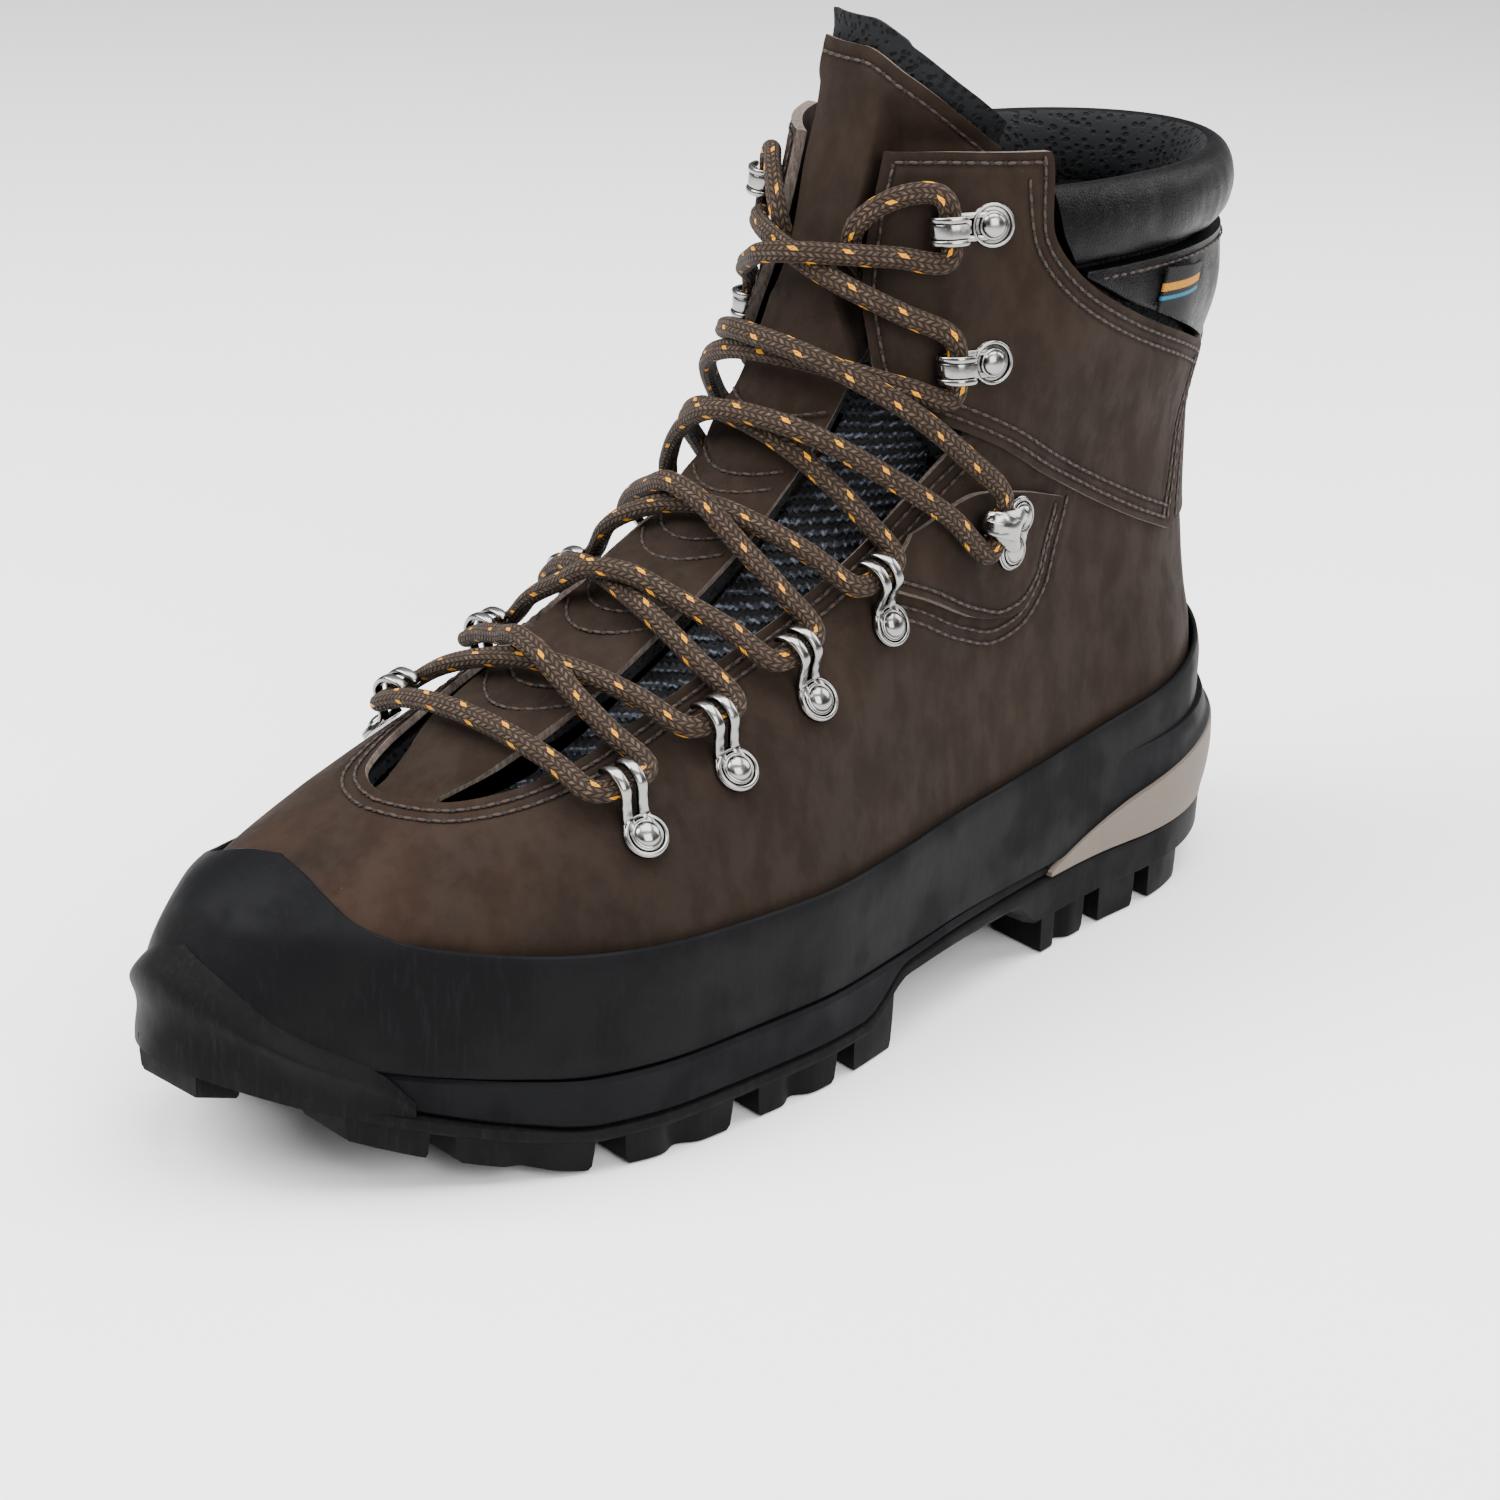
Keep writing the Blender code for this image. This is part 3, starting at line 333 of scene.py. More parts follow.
def grid_quads(rows, columns, first, flip, ring):
    """Faces of a grid of points, closed into a ring or not."""
    faces = []
    for i in range(rows - 1):
        for j in range(columns if ring else columns - 1):
            k = (j + 1) % columns
            quad = [first + i * columns + j, first + i * columns + k,
                    first + (i + 1) * columns + k, first + (i + 1) * columns + j]
            faces.append(quad[::-1] if flip else quad)
    return faces


def solid_faces(rows, columns, flip=False):
    """Faces of a closed rod of rings, with its two caps last."""
    faces = grid_quads(rows, columns, 0, False, True)
    faces += [list(range(columns))[::-1], [(rows - 1) * columns + j for j in range(columns)]]
    return [face[::-1] for face in faces] if flip else faces


def wall_faces(rows, columns, ring=False):
    """Faces of a wall between two grids of points, border last, and how many are not its border."""
    shift, last = rows * columns, (rows - 1) * columns
    faces = grid_quads(rows, columns, 0, False, ring) + grid_quads(rows, columns, shift, True, ring)
    broad = len(faces)
    if ring:
        loops = [list(range(columns)), [last + j for j in range(columns)][::-1]]
    else:
        loop = list(range(columns)) + [i * columns + columns - 1 for i in range(1, rows)]
        loop += [last + j for j in range(columns - 2, -1, -1)]
        loops = [loop + [i * columns for i in range(rows - 2, 0, -1)]]
    for loop in loops:
        faces += [[j, i, i + shift, j + shift] for i, j in zip(loop, loop[1:] + loop[:1])]
    return faces, broad


def wall(name, outer, inner, materials, ring=False, rim=0.3):
    """A closed wall between two grids of points, its border in the last of the materials."""
    verts = np.concatenate([outer.reshape(-1, 3), inner.reshape(-1, 3)])
    faces, broad = wall_faces(*outer.shape[:2], ring)
    slots = [0] * broad + [len(materials) - 1] * (len(faces) - broad)
    obj = mesh_object(name, verts, faces, materials, slots=slots)
    if rim:
        soften(obj, rim)
    return obj


def shell(name, a, z, outer, inner, materials, slot, *nodes, body="boot", ring=False, rim=0.3):
    """A finished piece: a closed wall on the skin, from one distance over it to another."""
    obj = wall(name, skin(a, z, outer), skin(a, z, inner), materials, ring, rim)
    return finish_piece(obj, body, slot, *nodes)


def between(low, high, rows, front=None):
    """A grid (a, z) between two routes, with its front edge on a third one if given."""
    v = np.linspace(0, 1, rows)[:, None, None]
    where = (1 - v) * low[None] + v * high[None]
    if front is not None:
        at_start = abs(low[0, 0]) < abs(low[-1, 0])
        end = 0 if at_start else -1
        fade = np.linspace(1, 0, len(low)) if at_start else np.linspace(0, 1, len(low))
        where = where + (front - where[:, end])[:, None] * fade[None, :, None] ** 2
    return where[..., 0], where[..., 1]


def joined(parts):
    """Several (verts, faces) as one."""
    verts, faces = [], []
    for some, rings in parts:
        faces += [[len(verts) + v for v in ring] for ring in rings]
        verts += list(some)
    return verts, faces


# ---------------------------------------------------------------- materials


class Wire:
    """A node's output in a Look, with operators that each add one math node."""

    def __init__(self, look, socket):
        self.look, self.socket = look, socket

    def __add__(self, other):
        return self.look.math("ADD", self, other)

    def __sub__(self, other):
        return self.look.math("SUBTRACT", self, other)

    def __mul__(self, other):
        return self.look.math("MULTIPLY", self, other)

    def __truediv__(self, other):
        return self.look.math("DIVIDE", self, other)

    def __gt__(self, other):
        return self.look.math("GREATER_THAN", self, other)

    def __lt__(self, other):
        return self.look.math("LESS_THAN", self, other)


class Look:
    """A procedural material: helpers that each add one node and return its output as a Wire."""

    def __init__(self, name, roughness, metallic=0.0, **sockets):
        self.material = bpy.data.materials.new(name)
        self.material.use_nodes = True
        self.tree = self.material.node_tree
        self.shader = self.tree.nodes["Principled BSDF"]
        self.put("Metallic", metallic)
        self.put("Roughness", roughness)
        for key, value in sockets.items():
            self.put(key.replace("_", " "), value)
        self.place = self.scaled(self.made("ShaderNodeTexCoord", "Object"), 1 / MM)

    def node(self, kind, **settings):
        node = self.tree.nodes.new(kind)
        for key, value in settings.items():
            setattr(node, key, value)
        return node

    def feed(self, socket, value):
        if isinstance(value, Wire):
            self.tree.links.new(value.socket, socket)
        elif isinstance(value, tuple) and len(value) == 3 and socket.type == "RGBA":
            socket.default_value = (*value, 1)
        else:
            socket.default_value = value

    def made(self, kind, output, inputs=(), **settings):
        """The named output of a new node with these (input, value) pairs."""
        node = self.node(kind, **settings)
        for key, value in inputs:
            self.feed(node.inputs[key], value)
        return Wire(self, node.outputs[output])

    def put(self, name, value):
        self.feed(self.shader.inputs[name], value)

    def scaled(self, vector, by):
        by = by if isinstance(by, tuple) else (by, by, by)
        return self.made("ShaderNodeVectorMath", 0, ((0, vector), (1, Vector(by))), operation="MULTIPLY")

    def math(self, operation, a, b=0.0, c=0.0):
        return self.made("ShaderNodeMath", 0, enumerate((a, b, c)), operation=operation)

    def sine(self, value):
        return self.math("SINE", value)

    def part(self, vector, axis):
        return self.made("ShaderNodeSeparateXYZ", axis, ((0, vector),))

    def noise(self, size, detail=3.0, rough=0.5, stretch=(1, 1, 1)):
        """Noise (about 0 to 1) with features of about size millimetres."""
        place = self.scaled(self.place, tuple(s / size for s in stretch))
        inputs = (("Vector", place), ("Scale", 1.0), ("Detail", detail), ("Roughness", rough))
        return self.made("ShaderNodeTexNoise", "Fac", inputs)

    def cells(self, size, feature="F1", stretch=(1, 1, 1)):
        inputs = (("Vector", self.scaled(self.place, tuple(s / size for s in stretch))), ("Scale", 1.0))
        return self.made("ShaderNodeTexVoronoi", "Distance", inputs, feature=feature)

    def span(self, value, low, high, to_low=0.0, to_high=1.0):
        """A value's smooth passage from low to high, as one from to_low to to_high."""
        keys = ("Value", "From Min", "From Max", "To Min", "To Max")
        inputs = zip(keys, (value, low, high, to_low, to_high))
        return self.made("ShaderNodeMapRange", 0, inputs, interpolation_type="SMOOTHSTEP")

    def mix(self, share_of_b, a, b):
        return self.made("ShaderNodeMix", 2, ((0, share_of_b), (6, a), (7, b)), data_type="RGBA")

    def bump(self, *heights):
        """Raises the surface by each (height, millimetres) in turn."""
        normal = ()
        for height, depth in heights:
            inputs = (("Strength", 1.0), ("Distance", depth * MM), ("Height", height), *normal)
            normal = (("Normal", self.made("ShaderNodeBump", 0, inputs)),)
        self.put(*normal[0])


def nubuck(name, tint=(1.0, 1.0, 1.0)):
    """Dark brown brushed leather: mottled nap, fine grain and a few pale specks."""
    look = Look(name, 0.8, Specular_IOR_Level=0.10, Sheen_Weight=0.02, Sheen_Roughness=0.5)
    look.put("Sheen Tint", (0.55, 0.42, 0.34))
    dark = tuple(c * t for c, t in zip((0.0085, 0.0054, 0.0036), tint))
    light = tuple(c * t for c, t in zip((0.0180, 0.0108, 0.0070), tint))
    broad = look.span(look.noise(38, 4, 0.6), 0.3, 0.7)
    brushed = look.span(look.noise(7, 5, 0.65, (1, 1, 0.55)), 0.32, 0.68)
    fine = look.noise(0.55, 3, 0.7)
    colour = look.mix(broad * 0.45 + brushed * 0.35 + fine * 0.25, dark, light)
    rubbed = look.span(look.part(look.place, 1), -75, -128) * look.span(broad, 0.2, 0.9)
    colour = look.mix(rubbed * 0.35, colour, (0.030, 0.0125, 0.0065))
    specks = look.span(look.cells(3.1), 0.07, 0.02) * look.span(look.noise(9, 1), 0.55, 0.62)
    look.put("Base Color", look.mix(specks * 0.4, colour, (0.075, 0.062, 0.053)))
    look.put("Roughness", look.span(brushed, 0.0, 1.0, 0.88, 0.72))
    look.bump((look.noise(2.6, 3), 0.10), (fine, 0.05), (look.noise(0.22, 2), 0.03))
    return look.material


def cut_edge():
    """The raw, paler edge of cut leather, with fibres along it."""
    look = Look("leather_edge", 0.85, Specular_IOR_Level=0.15)
    fibres = look.noise(0.8, 4, 0.7, (1, 1, 0.3))
    look.put("Base Color", look.mix(look.span(fibres, 0.3, 0.7), (0.060, 0.046, 0.038), (0.15, 0.122, 0.104)))
    look.bump((fibres, 0.12))
    return look.material


def smooth_leather():
    """Black collar leather with fine grain and soft folds."""
    look = Look("collar_leather", 0.36, Specular_IOR_Level=0.07)
    grain = look.cells(0.75, "DISTANCE_TO_EDGE")
    folds = look.noise(4.5, 3, 0.6, (1, 1, 2.2))
    dark, light = (0.0012, 0.0012, 0.0014), (0.0028, 0.0028, 0.0032)
    look.put("Base Color", look.mix(look.span(folds, 0.3, 0.7), dark, light))
    look.put("Roughness", look.span(look.noise(2.2, 3), 0.3, 0.7, 0.33, 0.40))
    look.bump((look.span(grain, 0.0, 0.22), 0.05), (folds, 0.12))
    return look.material


def rubber(name, colour, scuff, speck=0.0):
    """Moulded rubber: fine tooth, brushed scuffs down the wall and a trace of dust."""
    look = Look(name, 0.62, Specular_IOR_Level=0.08)
    brushed = look.noise(1.1, 4, 0.65, (1, 1, 0.08))
    patch = look.span(look.noise(22, 3), 0.38, 0.66)
    wear = look.span(brushed, 0.5, 0.72) * patch
    shade = look.mix(wear * scuff, colour, tuple(c * 2.0 + 0.0035 for c in colour))
    dust = look.span(look.noise(6, 5, 0.7), 0.55, 0.75) * (0.2 * scuff)
    shade = look.mix(dust, shade, tuple(c * 1.5 + 0.004 for c in colour))
    if speck:
        dots = look.span(look.cells(0.9), 0.24, 0.12)
        shade = look.mix(dots * speck, shade, tuple(c * 0.45 for c in colour))
    look.put("Base Color", shade)
    look.put("Roughness", look.span(patch, 0, 1, 0.55, 0.74))
    look.bump((look.noise(0.5, 3), 0.04), (brushed, 0.05), (look.noise(9, 2), 0.25))
    return look.material


def nickel():
    """Nickel plate, dark where the hardware's hollows see little light."""
    look = Look("nickel", 0.2, 1.0)
    hollow = look.made("ShaderNodeAmbientOcclusion", "AO", (("Distance", 4 * MM),), samples=8)
    shade = look.mix(look.noise(5, 3), (0.20, 0.196, 0.188), (0.31, 0.305, 0.295))
    look.put("Base Color", look.mix(look.span(hollow, 0.35, 0.95), (0.012, 0.012, 0.012), shade))
    look.put("Roughness", look.span(look.noise(1.6, 4), 0.35, 0.7, 0.15, 0.27))
    look.bump((look.noise(1.2, 3), 0.02))
    return look.material


def padded_mesh():
    """Black spacer mesh: small round holes in rows over foam."""
    look = Look("mesh_lining", 0.85, Specular_IOR_Level=0.12, Sheen_Weight=0.02, Sheen_Roughness=0.5)
    holes = look.span(look.cells(1.9, "F1", (1, 1, 1.15)), 0.25, 0.5)
    threads = look.noise(0.35, 2)
    # Painted shade: the holes are painted near black, darker than the mesh threads round them.
    shade = look.mix(holes, (0.0008, 0.0008, 0.001), (0.0065, 0.007, 0.008))
    look.put("Base Color", look.mix(threads * 0.4, shade, (0.011, 0.0115, 0.013)))
    look.bump((holes, 0.7), (threads, 0.1))
    return look.material


def webbing():
    """Black ribbed knit, with painted cool highlights (painted glints) on its wavy ribs and on single strands
    along them.
    """
    look = Look("webbing", 0.6, Specular_IOR_Level=0.15, Sheen_Weight=0.03, Sheen_Roughness=0.4)
    x, y, z = (look.part(look.place, k) for k in range(3))
    wavy = z + look.math("PINGPONG", x + y, 1.1) * 0.45
    rib = look.span(look.sine(wavy * (2 * math.pi / 2.3)), -0.7, 0.9)
    strands = look.span(look.sine((x - y + z) * 5.5), -0.2, 0.9) * look.span(look.noise(0.9, 2), 0.35, 0.6)
    # Painted highlight: the ribs' crests, and most of all the single strands on them, are painted towards a
    # pale cool blue.
    look.put("Base Color", look.mix(rib * (strands + 0.12), (0.0012, 0.0012, 0.0018), (0.10, 0.115, 0.145)))
    look.bump((rib, 0.8), (strands, 0.15))
    return look.material


def braid():
    """Brown lace braid on the lace's own map: u in metres along it, v once round it."""
    look = Look("lace_braid", 0.75, Specular_IOR_Level=0.15, Sheen_Weight=0.02, Sheen_Roughness=0.4)
    uv = look.made("ShaderNodeUVMap", 0)
    along, round_it = look.part(uv, 0) * (1 / MM), look.part(uv, 1)
    strips = round_it * 12.0
    strip, within = look.math("FLOOR", strips), look.math("FRACT", strips)
    lean = look.math("ABSOLUTE", look.math("MODULO", strip, 2.0) - within)
    steps = along / 1.55 + lean * 0.75
    lift, hump = look.sine(look.math("FRACT", steps) * math.pi), look.sine(within * math.pi)
    yarn = look.span(lift, 0.15, 0.95) * look.span(hump, 0.05, 0.75)
    shade = look.mix(look.span(look.noise(3, 2), 0.3, 0.7), (0.025, 0.0145, 0.0085), (0.034, 0.020, 0.012))
    top = look.mix(look.noise(1.3, 2) > 0.56, (0.050, 0.031, 0.0195), (0.088, 0.058, 0.038))
    # Painted shade: between the strands' crests the brown is darkened to near black; the crests carry the
    # lace's tan.
    shade = look.mix(yarn * 0.9, look.mix(0.7, shade, (0.003, 0.002, 0.0013)), top)
    slant = look.math("FRACT", (along + round_it * 15.0) / 11.5)
    every_third = look.math("MODULO", strip, 3.0) < 0.5
    fleck = (slant < 0.15) * every_third * look.span(hump, 0.25, 0.4)
    look.put("Base Color", look.mix(fleck, shade, (0.60, 0.24, 0.002)))
    look.bump((yarn, 0.30), (look.noise(0.25, 2), 0.05))
    return look.material


def thread():
    look = Look("thread", 0.55, Specular_IOR_Level=0.2)
    ply = look.noise(0.3, 2)
    look.put("Base Color", look.mix(ply, (0.020, 0.0115, 0.0088), (0.052, 0.033, 0.026)))
    look.bump((ply, 0.08))
    return look.material


def plain(name, dark, light, size, roughness, metallic=0.0, depth=0.1):
    """A mottled material for pieces that hardly show."""
    look = Look(name, roughness, metallic)
    grain = look.noise(size, 4, 0.6)
    look.put("Base Color", look.mix(look.span(grain, 0.3, 0.7), dark, light))
    look.bump((grain, depth))
    return look.material


def striped_ribbon():
    """A woven ribbon: black with one warm and one cool stripe along it."""
    look = Look("tag_ribbon", 0.6, Specular_IOR_Level=0.2)
    y, z = (look.part(look.place, k) for k in (1, 2))
    weave = look.sine((y + z) * 9.0)
    shade = look.mix(look.span(weave, -1, 1), (0.002, 0.002, 0.0026), (0.006, 0.006, 0.0076))
    for low, high, colour in ((149.6, 151.4, (0.45, 0.19, 0.008)), (147.6, 148.5, (0.012, 0.14, 0.24))):
        shade = look.mix((z > low) * (z < high) * 0.9, shade, colour)
    look.put("Base Color", shade)
    look.bump((weave, 0.12))
    return look.material


NUBUCK = nubuck("nubuck")
TONGUE_NUBUCK = nubuck("nubuck_tongue", (1.05, 1.03, 1.02))
EDGE = cut_edge()
COLLAR = smooth_leather()
RAND_RUBBER = rubber("rand_rubber", (0.0019, 0.0020, 0.0024), 0.5)
SOLE_RUBBER = rubber("outsole_rubber", (0.0024, 0.0024, 0.0027), 0.8)
MIDSOLE_RUBBER = rubber("midsole_rubber", (0.0017, 0.0018, 0.0025), 0.4)
INSERT = rubber("insert", (0.135, 0.112, 0.094), 0.1, 0.35)
NICKEL = nickel()
MESH = padded_mesh()
WEBBING = webbing()
BRAID = braid()
THREAD = thread()
# Stitch holes: small dark marks between the stitches, painted shade of the needle holes.
HOLE_SHADE = plain("stitch_hole", (0.0018, 0.0012, 0.001), (0.004, 0.003, 0.002), 0.5, 0.9)
BOARD = plain("fibreboard", (0.28, 0.22, 0.15), (0.42, 0.35, 0.26), 1.2, 0.9)
STEEL = plain("spring_steel", (0.35, 0.35, 0.36), (0.5, 0.5, 0.51), 2.0, 0.35, 1.0, 0.02)
TIP = plain("lace_tip", (0.008, 0.006, 0.005), (0.014, 0.01, 0.008), 1.5, 0.3, 0.0, 0.02)
RIBBON = striped_ribbon()

# ---------------------------------------------------------------- stitching

SEWN = {"boot": [], "tongue": []}
SPINDLE_SIDES = 6
STITCH_STEP = 1.5
STITCH_TILT = 0.12


def relief(a, z, size=19, height=0.28):
    """Gentle unevenness of the stretched leather, in millimetres."""
    return height * waves(form(a, z), size, 3.7)


def sew(body, points, out, *asides, trim=(0, 0)):
    """Notes rows of stitches beside a route, at a height over the skin, short of its ends by trim."""
    along = lengths(form(points[:, 0], points[:, 1]))
    kept = (along >= trim[0]) & (along <= along[-1] - trim[1])
    for aside in asides:
        line = beside(points, aside) if aside else points
        SEWN[body].append((line[kept], out))


def even_line(line, out, step):
    """Points and outward normals at even steps along a route on the skin."""
    a, z = line[:, 0], line[:, 1]
    points = skin(a, z, (out(a, z) if callable(out) else out) + relief(a, z))
    along, normal = lengths(points), normal_at(a, z)
    at = np.arange(step / 2, along[-1], step)
    where, up = (np.stack([np.interp(at, along, v[:, k]) for k in range(3)], -1) for v in (points, normal))
    return where, unit(up)


def spindle(length, width, height):
    """A small rounded rod, as vertices (along, across, up) and faces."""
    rings = [(-1, 0.25), (-0.8, 0.75), (-0.3, 1), (0.3, 1), (0.8, 0.75), (1, 0.25)]
    verts = [(s * length, r * width * math.cos(t), r * height * math.sin(t))
             for s, r in rings for t in turns(SPINDLE_SIDES)]
    return np.array(verts), solid_faces(len(rings), SPINDLE_SIDES, flip=True)


def scatter(name, material, template, places, body):
    """Copies of a small template at places (point, along, normal), joined into one object."""
    shape, rings = template
    verts, faces = [], []
    for point, along, normal in places:
        across = np.cross(normal, along)
        verts.append(point + shape @ np.stack([along, across, normal]))
        faces += [[len(shape) * (len(verts) - 1) + v for v in ring] for ring in rings]
    obj = mesh_object(name, np.concatenate(verts), faces, [material], 60)
    return finish_piece(obj, body, "nubuck")


def make_stitches():
    """Thread and dark hole marks in turn along every noted row; the hole marks are painted shade."""
    for body, rows in SEWN.items():
        rods, holes = [], []
        for line, out in rows:
            where, normal = even_line(line, out, STITCH_STEP)
            ahead = unit(np.gradient(where, axis=0))
            for i, (point, along, up) in enumerate(zip(where, ahead, normal)):
                if i % 2:
                    holes.append((point + up * 0.02, along, up))
                else:
                    tilt = along + np.cross(up, along) * rng.uniform(-STITCH_TILT, STITCH_TILT)
                    rods.append((point + up * rng.uniform(-0.02, 0.08), tilt / np.linalg.norm(tilt), up))
        scatter("stitches_" + body, THREAD, spindle(1.02, 0.36, 0.30), rods, body)
        # Painted shade: a dark spindle on the leather at each needle hole.
        scatter("stitch_holes_" + body, HOLE_SHADE, spindle(0.55, 0.42, 0.10), holes, body)


def furrow_tree():
    """Points of all the stitched rows, to press the leather in along them."""
    points = np.concatenate([skin(line[:, 0], line[:, 1]) for rows in SEWN.values() for line, _ in rows])
    tree = KDTree(len(points))
    for i, point in enumerate(points):
        tree.insert(point, i)
    tree.balance()
    return tree


def pressed(a, z):
    """How deep the stitches press the leather in at (a, z)."""
    flat = form(a, z).reshape(-1, 3)
    gap = np.array([FURROWS.find(point)[2] for point in flat]).reshape(a.shape)
    return 0.38 * np.exp(-(gap / 0.95) ** 2) - 0.10 * np.exp(-((gap - 2.3) / 0.9) ** 2)


def leather(name, node, a, z, outer, inner, ring=False):
    """A leather piece on the skin over the grid (a, z), uneven and pressed in along its seams."""
    height = outer + relief(a, z) - pressed(a, z)
    shell(name, a, z, height, inner, [NUBUCK, EDGE], "nubuck", node, ring=ring, rim=0.35)


PANEL_REAR = [(0.738, 88.5), (0.741, 102), (0.741, 116), (0.738, 130.5)]
WING_ROUND = [(0.512, 83.0), (0.533, 84.2), (0.54, 89), (0.528, 98), (0.513, 106.5)]
LEATHER_PROUD = 0.05
STAY_PROUD = 0.7
PANEL_PROUD = 1.3
WING_PROUD = 2.5
LINING_OUT = -3.7
LINING_IN = -5.8
TONGUE_SEAMS = (82.2, 93.4, 104.6, 115.8, 127)
SEAM_SAG = 2.4
STAY_A = 0.745
TONGUE_OUT = -0.4
TONGUE_ROOT = 68.4
SEAM_PITCH = 11.2
ROLL_Z = 167
ROLL_HALF = 9.0
ROLL_OUT = -3.4
ROLL_THICK = 5.2
GUSSET_OUT = -6.2
GUSSET_THICK = 0.9


def note_seams():
    """Every stitched row of the upper and the tongue."""
    throat = list(zip(THROAT_A, THROAT_Z))
    outline = WING_LOW[:-1] + WING_ROUND
    for side, _ in SIDES:
        # Route along an edge, points on it, height, distances beside it, and how far short of its ends.
        for points, count, out, asides, trim in (
            (turned(throat, side), 160, LEATHER_PROUD, (-2.4, -5.2), (0, 0)),
            (shifted(PANEL_LOW, side), 200, PANEL_PROUD, (2.2, 5.0), (2.4, 2.2)),
            (shifted(PANEL_FRONT, side), 110, PANEL_PROUD, (-2.4,), (4.5, 2.2)),
            (shifted(PANEL_HIGH, side), 200, PANEL_PROUD, (-2.2,), (2.4, 2.2)),
            (shifted(PANEL_HIGH[2:], side), 160, PANEL_PROUD, (-4.9,), (5, 2.2)),
            (turned(PANEL_REAR, side), 70, PANEL_PROUD, (2.2, 4.8), (2.2, 2.2)),
            (turned(outline, side), 160, WING_PROUD, (2.1,), (0, 2)),
            (turned(outline, side), 160, LEATHER_PROUD, (-2.4, -5.0), (0, 0)),
            (turned([(0.765, 90), (0.772, 110), (0.768, 130)], side), 60, STAY_PROUD, (0.0,), (0, 0)),
            ([(side * a, 155.2) for a in np.linspace(0.44, 0.995, 9)], 200, STAY_PROUD, (0.0,), (0, 0)),
        ):
            sew("boot", route(points, count), out, *asides, trim=trim[::side])
    s = np.linspace(-0.86, 0.86, 80)
    for z in TONGUE_SEAMS:
        level = z + SEAM_SAG * s * s
        across = tongue_across(s, level)
        for lift in (-1.6, 1.6):
            SEWN["tongue"].append((np.stack([across, level + lift], -1), seam_side))
    a = np.linspace(-0.108, 0.245, 120)
    SEWN["tongue"].append((np.stack([a, smooth(a, TONGUE_TOP_A, TONGUE_TOP_Z) - 3.2], -1), tongue_face))


# ---------------------------------------------------------------- the upper's pieces


def tongue_out(a, z):
    """Outer face of the tongue: flush in the throat, below the linings beyond the ankle panels' edges."""
    edge_z, edge_a = [p[1] for p in PANEL_FRONT], [p[0] for p in PANEL_FRONT]
    edge = smooth(z, edge_z, edge_a) + np.where(a < 0, MEDIAL_SHIFT, 0)
    tuck_room = np.exp(-((z - 156) / 11) ** 2)
    sink = share(np.abs(a) + 0.025 * tuck_room, edge - 0.03, 0.03)
    return TONGUE_OUT - 6.4 * (1 + tuck_room) * ease(sink)


def tongue_face(a, z):
    """The tongue's outer face, which comes forward again above the ankle panels."""
    clear, root = share(z, 185, 12), share(76, z, 6)
    return tongue_out(a, z) * (1 - ease(clear)) + TONGUE_OUT * clear - 2.5 * root


def seam_side(a, z):
    """Height of the tongue's leather beside a seam, where its padded segments begin to rise."""
    return tongue_face(a, z) + 0.66


def tongue_across(s, z):
    """Position a at a share s (-1 to 1) of the tongue's width."""
    medial, lateral = smooth(z, TONGUE_Z, TONGUE_MEDIAL), smooth(z, TONGUE_Z, TONGUE_LATERAL)
    return s * np.where(s < 0, medial, lateral)


def tongue_grid(columns, rows, low=TONGUE_Z[0]):
    s = np.linspace(-1, 1, columns)
    top = np.full(columns, TONGUE_TOP_Z[0], float)
    for _ in range(6):
        top = smooth(tongue_across(s, top), TONGUE_TOP_A, TONGUE_TOP_Z)
    z = low + np.linspace(0, 1, rows)[:, None] * (top - low)
    return tongue_across(s[None], z), z


def make_lower():
    """The lower leather, the rubber rand round it and its lining."""
    a = np.linspace(-1, 1, 641)[1:]
    under_panel = 5.5 * share(np.abs(a), 0.3, 0.05)
    _, z = rise(foot_base(a) + 0.4, top_of_lower(a) + under_panel, 76)
    leather("lower_leather_fine", "lower_leather", np.broadcast_to(a, z.shape), z, 0.0, -1.6, ring=True)
    v, z = rise(foot_base(a) + 0.4, smooth(np.abs(a), RAND_A, RAND_Z), 40)
    crest = 2.6 + 0.5 * np.exp(-((v - 0.2) / 0.25) ** 2) - 0.5 * share(v, 0.86, 0.14) ** 2
    crest = crest + relief(a, z, 26, 0.22)
    shell("rand_fine", a, z, crest, 0.9, [RAND_RUBBER], "rand_rubber", "rand", ring=True, rim=0.5)
    a = np.linspace(-1, 1, 201)[1:]
    _, z = rise(foot_base(a) + 4.4, np.minimum(top_of_lower(a), 96) - 1.5, 24)
    shell("vamp_lining_fine", a, z, LINING_OUT, LINING_IN, [MESH], "mesh_lining", "vamp_lining",
          ring=True, rim=0.2)


def make_panels():
    """Ankle panels and eyestay wings of both sides, and the back stay."""
    for side, word in SIDES:
        low, high = route(shifted(PANEL_LOW, side), 150), route(shifted(PANEL_HIGH, side), 150)
        a, z = between(low, high, 90, route(shifted(PANEL_FRONT, side)[::side], 90))
        leather("ankle_panel_fine_" + word, "ankle_panel_" + word, a, z, PANEL_PROUD, -1.0)
        a, z = between(route(turned(WING_LOW, side), 90), route(turned(WING_HIGH, side), 90), 60)
        corner = share(np.abs(a), 0.465, 0.08) * np.clip(1 - np.linspace(0, 3.2, 60)[:, None], 0, 1)
        a, z = a - side * 0.022 * corner ** 1.5, z + 4.4 * corner ** 1.5
        leather("wing_fine_" + word, "wing_" + word, a, z, WING_PROUD, 0.2)
    a = np.linspace(STAY_A, 2 - STAY_A, 120)
    _, z = rise(BACK_LOW, BACK_LOW + 42 + 24 * (folded(a) - STAY_A), 60)
    leather("back_stay_fine", "back_stay", np.broadcast_to(a, z.shape), z, STAY_PROUD, -1.4)


